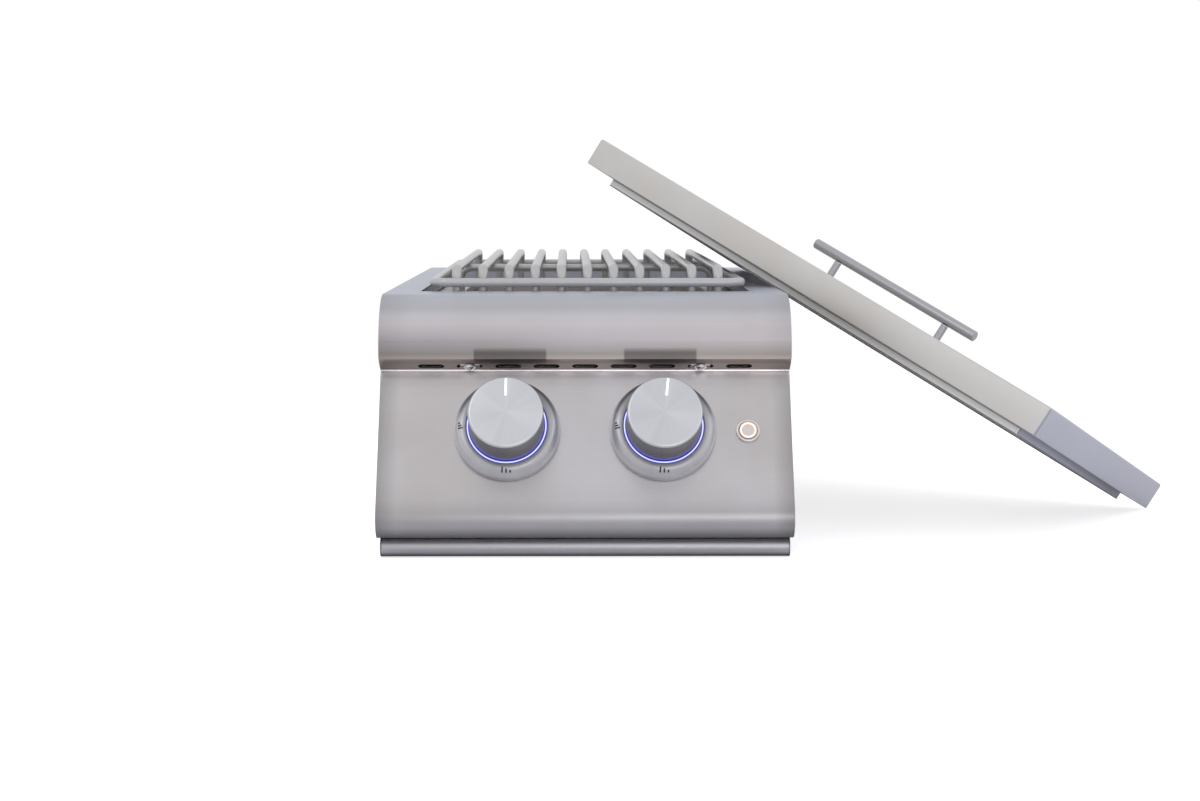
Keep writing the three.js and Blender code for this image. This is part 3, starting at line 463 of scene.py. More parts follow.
def add_ramp(tree, value, stops):
    node = add_node(tree, "ValToRGB", {"Fac": value})
    elements = node.color_ramp.elements
    while len(elements) < len(stops):
        elements.new(0.5)
    for element, (at, share) in zip(elements, stops):
        element.position = at
        element.color = (*as_color(share), 1)
    return node.outputs["Color"]


def add_scale(tree, value, stops):
    """A ramp over real values, such as heights in metres, from the first stop to the last."""
    low = stops[0][0]
    high = stops[-1][0]
    shares = [((at - low) / (high - low), share) for at, share in stops]
    return add_ramp(tree, add_range(tree, value, 0, 1, low, high), shares)


def add_mix(tree, factor, first, second, mode="MIX"):
    """A colour mix. Its factor is the node's socket 0, its colours are 6 and 7, and its result is 2."""
    inputs = {0: factor, 6: first, 7: second}
    return add_node(tree, "Mix", inputs, data_type="RGBA", blend_type=mode).outputs[2]


def add_product(tree, first, second):
    return add_mix(tree, 1.0, first, second, "MULTIPLY")


def add_bump(tree, height, strength, distance):
    inputs = {"Height": height, "Strength": strength, "Distance": distance}
    return add_node(tree, "Bump", inputs).outputs["Normal"]


# Materials
def steel(name, color, roughness, grain=(4, 90, 90), mottle=0.06, spread=0.05, bump=0.015, metallic=1.0,
          brushed=0.0, matrix=None, heights=None, edge=None, painted_reflection=None):
    """Brushed sheet: fine grain lines, warm and cool clouds, and small changes of gloss.

    Where the sheet is brushed, its reflections spread across the grain, which runs along X.
    Heights are pairs of a height in metres and a share of the colour, from low to high: light and shade
    painted by height.
    The other two go with heights, and their distances are in metres from the middle, on both sides of it:
    edge is where a painted side shade starts to darken the colour, where it ends and its last share, and
    the last is a painted reflection, a dark band, as its four stops across, its four stops up and its share.
    """
    made, tree, shader = new_material(name)
    place = add_place(tree, matrix)
    cloud = add_noise(tree, place, 9, detail=4, roughness=0.55, distortion=0.4)
    lines = add_noise(tree, place, 22, grain, roughness=0.6)
    warm = tint(color, (1 - 0.8 * mottle, 1 - mottle, 1 - 1.35 * mottle))
    cool = tint(color, (1 + 0.7 * mottle, 1 + mottle, 1 + 1.35 * mottle))
    clouded = add_ramp(tree, cloud, [(0.3, warm), (0.7, cool)])
    lined = add_mix(tree, add_range(tree, lines, 0, 1), tint(color, 0.95), tint(color, 1.04))
    mixed = add_mix(tree, 0.35, clouded, lined)
    if heights:
        split = add_split(tree, place)
        mixed = add_product(tree, mixed, add_scale(tree, split["Z"], heights))
        aside = add_math(tree, "ABSOLUTE", split["X"])
    if painted_reflection:
        across, rising, share = painted_reflection
        sides, levels = [add_scale(tree, value, list(zip(stops, (0, 1, 1, 0))))
                         for value, stops in ((aside, across), (split["Z"], rising))]
        mixed = add_product(tree, mixed, add_mix(tree, add_product(tree, sides, levels), 1, share))
    if edge:
        start, end, share = edge
        mixed = add_product(tree, mixed, add_scale(tree, aside, [(start, 1), (end, share)]))
    gloss = add_range(tree, lines, roughness - spread, roughness + spread)
    fill(tree, shader, {"Base Color": mixed, "Metallic": metallic, "Roughness": gloss,
                        "Normal": add_bump(tree, lines, bump, 0.0002)})
    if brushed:
        tangent = add_node(tree, "Tangent", direction_type="RADIAL", axis="X").outputs["Tangent"]
        fill(tree, shader, {"Anisotropic": brushed, "Tangent": tangent})
    return made


def spun(name, color, roughness, matrix):
    """A spun metal face: fine rings, and a soft star of light and shade round the middle."""
    made, tree, shader = new_material(name)
    radius, direction = add_radius(tree, matrix)
    star = add_noise(tree, direction, 1.5, detail=2)
    fan = add_ramp(tree, add_range(tree, star, 0, 1, 0.32, 0.68),
                   [(0.0, tint(color, 0.93)), (0.5, color), (1.0, tint(color, 1.09))])
    rings = add_rings(tree, radius, 2600)
    lined = add_mix(tree, 0.3, fan, add_ramp(tree, rings, [(0.3, tint(color, 0.9)), (0.7, color)]))
    gloss = add_range(tree, rings, roughness - 0.04, roughness + 0.05)
    fill(tree, shader, {"Base Color": lined, "Metallic": 1, "Roughness": gloss,
                        "Normal": add_bump(tree, rings, 0.03, 0.0001)})
    return made


def domed(name, stops, roughness, matrix):
    """A turned and polished ring: painted shades by the radius, in metres, and a painted dark reflection on
    the upper side, with painted light at the left and right.
    """
    made, tree, shader = new_material(name)
    radius, direction = add_radius(tree, matrix)
    cloud = add_noise(tree, direction, 2.2, detail=2)
    around = add_ramp(tree, cloud, [(0.3, 0.9), (0.7, 1.0)])
    upper = add_ramp(tree, add_range(tree, add_split(tree, direction)["Y"], 0, 1, -1.0, 0.6),
                     [(0.0, 0.94), (0.5, (1.10, 1.10, 1.12)), (0.7, (1.08, 1.09, 1.11)),
                      (1.0, (0.56, 0.56, 0.57))])
    clouded = add_product(tree, add_scale(tree, radius, stops), around)
    rings = add_rings(tree, radius, 1800)
    gloss = add_range(tree, rings, roughness - 0.03, roughness + 0.04)
    fill(tree, shader, {"Base Color": add_product(tree, clouded, upper), "Metallic": 0.7, "Roughness": gloss,
                        "Normal": add_bump(tree, rings, 0.02, 0.0001)})
    return made


def glow(name, stops, strength, matrix):
    """A lit light guide: colours by the radius, in metres."""
    made, tree, shader = new_material(name)
    color = add_scale(tree, add_radius(tree, matrix)[0], stops)
    fill(tree, shader, {"Base Color": color, "Roughness": 0.4, "Emission Color": color,
                        "Emission Strength": strength})
    return made


def painted(name, color, roughness, scale, bump, mottle=0.15, metallic=0.0):
    """A cast, moulded or printed surface with a fine grain."""
    made, tree, shader = new_material(name)
    noise = add_noise(tree, add_place(tree), scale, detail=5, roughness=0.6)
    mottled = add_ramp(tree, noise, [(0.3, tint(color, 1 - mottle)), (0.7, tint(color, 1 + mottle))])
    gloss = add_range(tree, noise, roughness - 0.06, roughness + 0.06)
    fill(tree, shader, {"Base Color": mottled, "Metallic": metallic, "Roughness": gloss,
                        "Normal": add_bump(tree, noise, bump, 0.0004)})
    return made


# The front's painted shades run from a painted shadow under the nose up to painted blue sky on the flat of
# the deck, a bluer, less metallic copy of the steel. Its sides are painted darker, and the knobs' dark
# reflections are painted on the nose's lower curve.
deck_steel = steel(
    "deck_steel", (0.53, 0.52, 0.54), 0.3, grain=(3, 90, 90), spread=0.02, bump=0.004, brushed=0.9,
    heights=[(0.165, (0.30, 0.26, 0.23)), (0.175, (0.58, 0.51, 0.46)), (0.180, (0.70, 0.62, 0.56)),
             (0.1852, (0.51, 0.48, 0.445)), (0.1907, (0.61, 0.58, 0.57)), (0.198, (0.74, 0.70, 0.71)),
             (0.2053, (0.90, 0.86, 0.89)), (0.2124, (1.03, 0.99, 0.99)), (0.2195, (1.02, 1.02, 1.05)),
             (0.2265, (0.86, 0.87, 0.90)), (0.2335, (0.87, 0.89, 0.95)), (0.2372, (0.80, 0.84, 0.92))],
    edge=(0.162, 0.1905, 0.86),
    painted_reflection=((0.0350, 0.0368, 0.1018, 0.1036), (0.1720, 0.1800, 0.1870, 0.1915), 0.48))
deck_flat = steel("deck_flat", (0.42, 0.44, 0.51), 0.42, grain=(3, 90, 90), mottle=0.03, spread=0.04,
                  bump=0.01, metallic=0.2)
# Light and shade painted by height: the panel darkens towards its foot, with a painted highlight along the
# fold under the crease, and its sides are painted darker.
panel_steel = steel(
    "panel_steel", (0.53, 0.51, 0.53), 0.32, grain=(2, 40, 40), mottle=0.09, spread=0.04, bump=0.012,
    brushed=0.6,
    heights=[(0.0188, 0.37), (0.0254, 0.58), (0.0305, 0.76), (0.038, 0.69), (0.045, 0.735), (0.0555, 0.865),
             (0.072, 0.92), (0.110, 0.92), (0.142, 0.96), (0.156, 1.0), (0.163, 1.24), (0.1655, 1.8),
             (0.168, 1.9)],
    edge=(0.172, 0.1905, 0.66))
# Light and shade painted by height on the rolled strip: dark at its foot, with a painted highlight near its
# top.
tray_steel = steel(
    "tray_steel", (0.53, 0.52, 0.55), 0.34, grain=(2, 40, 40), mottle=0.04, spread=0.04, bump=0.012,
    brushed=0.6,
    heights=[(0.0, 0.20), (0.002, 0.25), (0.0055, 0.88), (0.010, 0.80), (0.0135, 0.72), (0.0165, 1.35),
             (0.0185, 0.95)])
side_steel = steel("side_steel", (0.50, 0.49, 0.50), 0.36, grain=(40, 2, 40), mottle=0.05, spread=0.04,
                   bump=0.012, metallic=0.7)

# The lid's grain and shades follow its own frame. Its short ends face the sky, and are painted darker and
# bluer.
LID = lid_matrix()
lid_steel = steel("lid_steel", (0.605, 0.583, 0.560), 0.45, grain=(2, 60, 60), mottle=0.08, bump=0.012,
                  metallic=0.4, matrix=LID)
lid_end_steel = steel("lid_end_steel", (0.48, 0.48, 0.545), 0.45, grain=(60, 2, 60), mottle=0.08, bump=0.012,
                      metallic=0.4, matrix=LID)
# The skirt is a much lighter copy of the lid's steel: light painted where the rim overhangs it, with a
# painted shadow line under the rim and a painted dark foot. Its ends are painted darker and bluer.
skirt_painted_shades = steel(
    "skirt_painted_shades", (0.93, 0.91, 0.88), 0.45, grain=(2, 60, 60), mottle=0.04, bump=0.012, metallic=0.1,
    matrix=LID,
    heights=[(0.0, 0.25), (0.0009, 0.25), (0.0013, 1.0), (0.0064, 1.0), (0.0070, 0.45), (0.009, 0.4)])
skirt_end_steel = steel(
    "skirt_end_steel", (0.50, 0.50, 0.60), 0.45, grain=(60, 2, 60), mottle=0.04, bump=0.012, metallic=0.2,
    matrix=LID, heights=[(0.0, 0.4), (0.0009, 0.4), (0.0013, 1.0), (0.009, 0.8)])
# A dark copy of the lid's steel for its corner bends: a painted dark reflection.
bend_painted_reflection = steel("bend_painted_reflection", (0.33, 0.33, 0.37), 0.4, grain=(60, 60, 2), mottle=0.04, spread=0.04,
                   bump=0.01, metallic=0.4, matrix=LID)
bar_steel = steel("bar_steel", (0.39, 0.395, 0.42), 0.34, grain=(2, 60, 60), mottle=0.03, spread=0.03,
                  bump=0.002, metallic=0.7, matrix=LID)

rod_steel = steel("rod_steel", (0.51, 0.505, 0.51), 0.34, grain=(14, 14, 14), spread=0.04, bump=0.006,
                  metallic=0.3)
inner_steel = steel("inner_steel", (0.50, 0.46, 0.44), 0.42, grain=(12, 40, 40), mottle=0.12, metallic=0.75)
dark_steel = steel("dark_steel", (0.20, 0.18, 0.17), 0.5, grain=(12, 40, 40), mottle=0.12)
spring_steel = steel("spring_steel", (0.34, 0.34, 0.35), 0.35, grain=(60, 60, 60), mottle=0.1)
screw_steel = steel("screw_steel", (0.62, 0.62, 0.62), 0.16, grain=(40, 40, 40), mottle=0.05)
button_steel = steel("button_steel", (0.68, 0.62, 0.62), 0.3, grain=(60, 60, 60), mottle=0.04, metallic=0.8)
brass = steel("machined_brass", (0.55, 0.36, 0.13), 0.36, grain=(60, 60, 60), mottle=0.1)
cast_iron = painted("cast_iron", (0.035, 0.034, 0.033), 0.62, scale=700, bump=0.4, metallic=0.5)
ceramic = painted("ceramic", (0.82, 0.79, 0.72), 0.3, scale=90, bump=0.05, mottle=0.04)
black_plastic = painted("black_plastic", (0.014, 0.014, 0.015), 0.5, scale=900, bump=0.1)
mark_black = painted("mark_black", (0.02, 0.02, 0.024), 0.5, scale=600, bump=0.05, mottle=0.1)
white_inlay = painted("white_inlay", (0.9, 0.9, 0.97), 0.35, scale=120, bump=0.02, mottle=0.03)
# The white pointer gets a faint bluish glow: painted light, as it is no lamp.
inlay_tree = white_inlay.node_tree
fill(inlay_tree, inlay_tree.nodes["Principled BSDF"],
     {"Emission Color": (0.86, 0.87, 1.0), "Emission Strength": 0.55})


def dress(piece, *materials):
    piece.data.materials.clear()
    for one in materials:
        piece.data.materials.append(one)


def declare(piece, body, slot, *replaced):
    """Says what a piece rides on, and hides the nodes that it stands for. The slot is not used."""
    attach(piece, body)
    if replaced:
        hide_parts(*replaced)


def make_deck():
    place = BODY @ shift(0, OPENING_FRONT + OPENING_LENGTH / 2, 0)
    end = crease + up * (FOLD + SEAT)
    path = rounded([(DEPTH, 0), (-NOSE, 0), (-NOSE, -NOSE_HEIGHT), end], [NOSE, NOSE_CORNER], [48, 24])
    deck = to_object("deck_skin", sweep_x(sheet_outline(path), -WIDTH / 2, WIDTH / 2), BODY)
    opening = rectangle_loop(OPENING_WIDTH, OPENING_LENGTH, OPENING_CORNER)
    slot_length = 24
    slot_height = 8
    slot_corner = 3.9
    slot = rectangle_loop(slot_length, slot_height, slot_corner)
    reach = 6
    cutters = [to_object("opening", loft([(opening, -reach), (opening, reach)]), place)]
    for i in range(SLOTS):
        cutter = loft([(slot, -CUTTER_REACH), (slot, CUTTER_REACH)])
        cutters.append(to_object("slot", cutter, slot_matrix(i)))
    cut(deck, cutters)

    collar_top = -0.8
    collar_foot = -12
    outside = rectangle_loop(OPENING_WIDTH + 2 * SHEET, OPENING_LENGTH + 2 * SHEET, OPENING_CORNER + SHEET)
    loops = [(opening, collar_top), (opening, collar_foot), (outside, collar_foot), (outside, collar_top),
             (opening, collar_top)]
    collar = to_object("deck_collar", loft(loops, capped=False), place)

    hem = 13
    hem_start = 6
    hem_corner = 0.8
    edge = (WIDTH - hem) / 2
    hems = []
    for side, x, width, y0, y1 in (("left", -edge, hem, hem_start, DEPTH),
                                   ("right", edge, hem, hem_start, DEPTH),
                                   ("rear", 0, WIDTH - 2 * hem, DEPTH - hem, DEPTH)):
        loops = [(rectangle_loop(width - 2 * inset, y1 - y0 - 2 * inset, hem_corner, 3), height)
                 for inset, height in ((0.6, -2 * SHEET), (0.15, -2.8), (0, -2.4), (0, -SHEET / 2))]
        hems.append(to_object("deck_hem_" + side, loft(loops), BODY @ shift(x, (y0 + y1) / 2, 0)))

    dress(deck, deck_steel, deck_flat)
    flat_from = 0.5 - DEPTH / 2
    for polygon in deck.data.polygons:
        polygon.material_index = 1 if polygon.center.y > flat_from * MM else 0
    for piece in [collar] + hems:
        dress(piece, deck_flat)
    for piece in [deck, collar] + hems:
        declare(piece, "unit", "deck_steel", "top_deck")


def make_panel():
    lip = 4.5
    return_depth = 48
    corners = [fold + up * lip, fold, toe_corner, (toe_corner.x + return_depth, -PANEL_BOTTOM)]
    path = rounded(corners, [FOLD, TOE], [12, 32])
    panel = to_object("panel_skin", sweep_x(sheet_outline(path), -WIDTH / 2, WIDTH / 2), BODY)
    cutters = []
    knob_hole = 8
    button_hole = 9.7
    for x, radius in ((-KNOB_X, knob_hole), (KNOB_X, knob_hole), (BUTTON_X, button_hole)):
        hole = turned([(0, -CUTTER_REACH), (radius, -CUTTER_REACH), (radius, CUTTER_REACH),
                       (0, CUTTER_REACH)])
        cutters.append(to_object("hole", hole, panel_matrix(x)))
    cut(panel, cutters)
    dress(panel, panel_steel)
    declare(panel, "unit", "panel_steel", "control_panel")

    tab_top = 18
    tab_foot = 3
    tab_width = 18
    for index in SCREW_SLOTS.values():
        outline = sheet_outline([fold + up * tab_top, fold + up * tab_foot])
        tab = to_object("panel_tab_" + str(index), sweep_x(outline, -tab_width / 2, tab_width / 2),
                        BODY @ shift((index - SLOTS // 2) * SLOT_PITCH, 0, 0))
        dress(tab, panel_steel)
        declare(tab, "unit", "panel_steel", "control_panel")


def make_screws():
    """A flat round head with a cross in it, on a washer."""
    shank = 2
    tip = -9
    washer = 5.6
    washer_top = 1.3
    head = 4.3
    flatness = 0.5
    cross = (2.2, 0.45)
    cross_floor = 2.6
    above = 7
    dome = [(r, washer_top + flatness * h) for r, h in arc((0, 0), head, 0, 88, 10)]
    bevel = 0.3
    profile = [(0, tip), (shank, tip), (shank, SEAT), (washer - bevel, SEAT), (washer, SEAT + bevel),
               (washer, washer_top - bevel), (washer - bevel, washer_top), *dome,
               (0, washer_top + flatness * head)]
    for side, index in SCREW_SLOTS.items():
        screw = to_object("screw_" + side, turned(profile), slot_matrix(index))
        arms = [to_object("cross", box_mesh((-x, -y, cross_floor), (x, y, above)), slot_matrix(index))
                for x, y in (cross, cross[::-1])]
        cut(screw, arms)
        dress(screw, screw_steel)
        declare(screw, "unit", "screw_steel", "panel_screw_" + side)


def make_knob(side, place, dial):
    """The cap, which turns with its dial, and the white pointer let into its face."""
    bore = 4.1
    bore_top = 37.5
    boss = 8
    boss_foot = 15.8
    inside = 31.5
    ceiling = 44
    edge = 0.4
    rim = ((0, KNOB_RIM), (0.15, 1.6), (0.55, 0.8), (1.2, 0.3), (1.9, 0.05), (2.6, 0))
    profile = [(0, bore_top), (bore, bore_top), (bore, boss_foot), (boss, boss_foot), (boss, ceiling),
               (inside, ceiling), (inside, KNOB_FOOT + edge), (inside + edge, KNOB_FOOT),
               (KNOB_RADIUS - edge, KNOB_FOOT), (KNOB_RADIUS, KNOB_FOOT + edge),
               *((KNOB_RADIUS - aside, KNOB_TOP - drop) for aside, drop in rim), (16, KNOB_TOP),
               (0, KNOB_TOP)]
    knob = to_object("knob_cap_" + side, turned(profile, 160, 28), dial)
    groove = rectangle_loop(3.0, 18.2, 1.45)
    groove_floor = 47.7
    groove_middle = 24.5
    above = KNOB_TOP + 3
    cutter = loft([(groove, groove_floor), (groove, above)])
    cut(knob, [to_object("groove", cutter, dial @ shift(0, groove_middle, 0))], 28)

    face = spun("knob_face_" + side, (0.55, 0.56, 0.60), 0.33, dial)
    # The wall is painted bluer towards its foot, beside the blue light ring: painted light.
    wall = steel("knob_wall_" + side, (0.265, 0.255, 0.26), 0.36, grain=(10, 10, 200), matrix=place,
                 heights=[(0.004, (0.9, 0.95, 1.8)), (0.016, (0.95, 0.97, 1.4)), (0.025, (1.0, 1.0, 1.04)),
                          (0.046, (1.0, 1.0, 1.0))])
    dress(knob, face, wall)
    local = dial.inverted()
    for polygon in knob.data.polygons:
        centre = local @ polygon.center
        normal = local.to_3x3() @ polygon.normal
        outer = abs(normal.z) < 0.4 and math.hypot(centre.x, centre.y) > (KNOB_RADIUS - 0.5) * MM
        polygon.material_index = 1 if outer and centre.z < (KNOB_TOP - KNOB_RIM) * MM else 0
    declare(knob, side + "_knob", "knob_metal", "knob_" + side)

    pointer_foot = 47.6
    pointer_top = 48.7
    pointer_middle = 24.4
    pointer_edge = 0.1
    wide = rectangle_loop(2.4, 17.4, 1.15)
    narrow = rectangle_loop(2.4 - 2 * pointer_edge, 17.4 - 2 * pointer_edge, 1.15 - pointer_edge)
    loops = [(wide, pointer_foot), (wide, pointer_top - pointer_edge), (narrow, pointer_top)]
    pointer = to_object("knob_line_" + side, loft(loops), dial @ shift(0, pointer_middle, 0))
    dress(pointer, white_inlay)
    declare(pointer, side + "_knob", "pointer_white", "knob_pointer_" + side)


def bezel_point(angle, along):
    """A point on the bezel's dome and the way out of it, by an angle and a share of the way down."""
    fall = along * math.pi / 2
    radius = BEZEL_LAND + DOME_WIDTH * math.sin(fall)
    height = BEZEL_FOOT + DOME_HEIGHT * math.cos(fall)
    aside = math.sin(fall) / DOME_WIDTH
    out = Vector((math.cos(angle) * aside, math.sin(angle) * aside, math.cos(fall) / DOME_HEIGHT))
    return Vector((radius * math.cos(angle), radius * math.sin(angle), height)), out.normalized()


def bezel_mark(angle0, angle1, along0, along1):
    """A printed bar that lies on the bezel's dome."""
    sunk = -0.1
    proud = 0.06
    across = 6
    row = across + 1
    points = []
    for depth in (sunk, proud):
        for i in range(row):
            for j in range(row):
                at, out = bezel_point(angle0 + (angle1 - angle0) * i / across,
                                      along0 + (along1 - along0) * j / across)
                points.append(at + out * depth)
    count = row ** 2
    faces = []
    for i in range(across):
        for j in range(across):
            a = i * row + j
            low = [a, a + 1, a + row + 1, a + row]
            faces.append(low[::-1])
            faces.append([k + count for k in low])
    rim = list(range(row))
    rim += [i * row + across for i in range(1, row)]
    rim += [across * row + j for j in range(across - 1, -1, -1)]
    rim += [i * row for i in range(across - 1, 0, -1)]
    for a, b in zip(rim, rim[1:] + rim[:1]):
        faces.append([a, b, b + count, a + count])
    return build_mesh(points, faces)


def between(inner, outer, shades):
    """Shades at shares of a ring's breadth, as stops in metres."""
    return [((inner + (outer - inner) * share) * MM, color) for share, color in shades]


def make_bezel(side, place):
    steps = 24
    crown = [bezel_point(0, 1 - k / steps)[0] for k in range(steps + 1)]
    ring = [(BEZEL_BORE, SEAT), (BEZEL_RADIUS - 0.2, SEAT), (BEZEL_RADIUS, 2 * SEAT),
            *((p.x, p.z) for p in crown), (BEZEL_BORE + 0.7, BEZEL_TOP), (BEZEL_BORE + 0.2, BEZEL_TOP - 0.2),
            (BEZEL_BORE, BEZEL_TOP - 0.6)]
    bezel = to_object("bezel_ring_" + side, turned(ring, 160, 50), place)
    # Painted shades across the dome: darker near the bore, a painted highlight near the outer edge, and a
    # dark outer rim.
    shades = [(0.0, (0.40, 0.40, 0.42)), (0.35, (0.42, 0.42, 0.44)), (0.75, (0.52, 0.51, 0.53)),
              (0.93, (0.76, 0.75, 0.77)), (1.0, (0.50, 0.49, 0.50))]
    dress(bezel, domed("bezel_metal_" + side, between(BEZEL_BORE, BEZEL_RADIUS, shades), 0.34, place))
    declare(bezel, "unit", "trim_steel", "bezel_" + side)


def make_level_marks(side, place):
    """Three bars of unlike length on the bezel's left, and three below the knob."""
    half = math.radians(0.95)
    fall = 0.28
    groups = ((180.0, 3.3, 0.0, 0.34, (2, 1, 0)), (270.0, 4.8, 0.03, 0.40, (0, 1, 2)))
    for group, (middle, spread, top, foot, falls) in enumerate(groups):
        for step, count in enumerate(falls):
            at = math.radians(middle + (step - 1) * spread)
            start = foot - (foot - top) * (1.0 - fall * count)
            mark = to_object("level_mark_" + side + "_" + str(group * 3 + step),
                             bezel_mark(at - half, at + half, start, foot), place)
            dress(mark, mark_black)
            declare(mark, "unit", "module_plastic")


def make_light_ring(side, place):
    guide = [(GUIDE_BORE, SEAT), (GUIDE_RADIUS, SEAT), (GUIDE_RADIUS, GUIDE_TOP - 0.3),
             (GUIDE_RADIUS - 0.2, GUIDE_TOP), (GUIDE_BORE + 0.2, GUIDE_TOP), (GUIDE_BORE, GUIDE_TOP - 0.3)]
    light = to_object("glow_ring_" + side, turned(guide, 160, 40), place)
    shades = [(0.0, (0.08, 0.08, 0.55)), (0.3, (0.30, 0.32, 0.9)), (0.55, (1.0, 1.0, 1.0)),
              (0.75, (0.30, 0.32, 0.8)), (1.0, (0.05, 0.05, 0.35))]
    dress(light, glow("knob_glow_" + side, between(GUIDE_BORE, GUIDE_RADIUS, shades), 0.8, place))
    declare(light, "unit", "knob_glow", "light_ring_" + side)


def make_spring(side, place):
    """A valve's return spring. It keeps one length, though the real one shortens as the knob is pushed in.
    """
    radius = 5.9
    wire = 0.6
    foot = 3.3
    free = 9.9
    turns = 5
    turn_steps = 24
    steps = turns * turn_steps
    path = []
    for k in range(steps + 1):
        angle = 2 * math.pi * k / turn_steps
        height = foot + wire + (free - 2 * wire) * k / steps
        path.append(Vector((radius * math.cos(angle), radius * math.sin(angle), height)))
    spring = to_object("knob_spring_" + side, joined_tubes([tube(path, wire, 10)]), place)
    dress(spring, spring_steel)
    declare(spring, "unit", "spring_steel", "valve_spring_" + side)
    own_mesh(spring)


def make_controls():
    for side, x, turn in (("left", -KNOB_X, 0), ("right", KNOB_X, -6)):
        place = panel_matrix(x)
        make_knob(side, place, panel_matrix(x, math.radians(turn)))
        make_bezel(side, place)
        make_level_marks(side, place)
        make_light_ring(side, place)
    for side, x in (("left", -KNOB_X), ("right", KNOB_X)):
        make_spring(side, panel_matrix(x))


def make_button():
    """The housing, the cap that goes in, and the light ring in the cap."""
    place = panel_matrix(BUTTON_X)
    barrel = 9.4
    tail = -26
    head = 11
    head_top = 2.6
    well = 8.7
    well_floor = -4.8
    profile = [(0, tail), (barrel, tail), (barrel, SEAT), (head, SEAT), (head, head_top - 0.7),
               (head - 0.3, head_top - 0.2), (head - 0.8, head_top), (well + 0.3, head_top),
               (well, head_top - 0.3), (well, well_floor), (0, well_floor)]
    housing = to_object("switch_body", turned(profile, 96), place)
    dress(housing, button_steel)
    declare(housing, "unit", "trim_steel", "button_housing")

    cap = 8.4
    cap_foot = -2.2
    cap_top = 3.6
    wide = 7.65
    narrow = 5.7
    floor = 2.2
    profile = [(0, cap_foot), (cap, cap_foot), (cap, cap_top - 0.4), (cap - 0.4, cap_top), (wide, cap_top),
               (wide, floor), (narrow, floor), (narrow, cap_top), (0, cap_top)]
    button = to_object("switch_cap", turned(profile, 96), place)
    dress(button, button_steel)
    declare(button, "push_button", "trim_steel", "button_cap")

    inner = 6.0
    outer = 7.35
    foot = 2.5
    lit_to = 7.5
    profile = [(inner, foot), (outer, foot), (outer, cap_top - 0.1), (outer - 0.15, cap_top),
               (inner + 0.15, cap_top), (inner, cap_top - 0.1)]
    light = to_object("switch_ring", turned(profile, 96), place)
    shades = [(0.0, (1.0, 0.62, 0.42)), (0.5, (1.0, 0.93, 0.80)), (1.0, (1.0, 0.55, 0.36))]
    dress(light, glow("button_glow", between(inner, lit_to, shades), 0.9, place))
    declare(light, "push_button", "button_glow", "button_light")


def make_grate():
    """Bent rods: a frame of two half loops, eleven fingers and a cross rod under them."""
    width = 306.6
    length = 513.4
    front = 45.8
    aside = 0.55
    skew = math.radians(0.43)
    frame_rod = 4.25
    frame_rise = 8.4
    frame_corner = 14
    x = width / 2 - frame_rod
    y = length / 2 - frame_rod
    parts = []
    for sign in (-1, 1):
        corners = [(-x, -sign * WELD, frame_rise), (-x, sign * y, frame_rise), (x, sign * y, frame_rise),
                   (x, -sign * WELD, frame_rise)]
        parts.append(tube(rounded(corners, [frame_corner] * 2, [10] * 2), frame_rod))

    # The fingers' legs stand inside the frame. Each finger is a little wider where it bends down.
    rod = 4
    pitch = 25.3
    ridge = 21.5
    foot = -13.2
    tip = -2
    bend = 9
    leg = y - frame_rod - rod + WELD
    widening = 0.2
    widen_from = 2
    widen_height = 14
    widen_length = 90
    for i in range(-5, 6):
        at = i * pitch
        corners = [(at, -leg, foot), (at, -leg, tip), (at, -leg, ridge), (at, leg, ridge), (at, leg, tip),
                   (at, leg, foot)]
        points, faces = tube(rounded(corners, [0.1, bend, bend, 0.1], [1, 10, 10, 1]), rod)
        for k, p in enumerate(points):
            rise = max(0.0, min(1.0, (p.z - widen_from) / widen_height))
            past = max(0.0, min(1.0, (leg - abs(p.y)) / widen_length))
            points[k] = Vector((at + (p.x - at) * (1 + widening * rise * (1 - past)), p.y, p.z))
        parts.append((points, faces))

    cross = 132.5
    cross_bend = 11
    cross_at = (0.4 - 0.5) * length
    low = ridge - 2 * rod + 2 * WELD
    corners = [(-cross, cross_at, foot), (-cross, cross_at, low), (cross, cross_at, low),
               (cross, cross_at, foot)]
    parts.append(tube(rounded(corners, [cross_bend] * 2, [10] * 2), rod))
    grate = to_object("rod_grate", joined_tubes(parts),
                      BODY @ shift(aside, front + length / 2, 0) @ Matrix.Rotation(skew, 4, "Z"))
    dress(grate, rod_steel)
    declare(grate, "grate", "rod_steel", "grate")


def face_ends(piece):
    """Gives a lid piece's second material, painted darker, to its short ends, and its third, a painted dark
    reflection, to the bends beside them.
    """
    local = LID.inverted().to_3x3()
    for polygon in piece.data.polygons:
        normal = local @ polygon.normal
        along = abs(normal.x)
        if abs(normal.z) < 0.3 and 0.5 < along < 0.8:
            polygon.material_index = 2
        else:
            polygon.material_index = 1 if along > 0.4 else 0


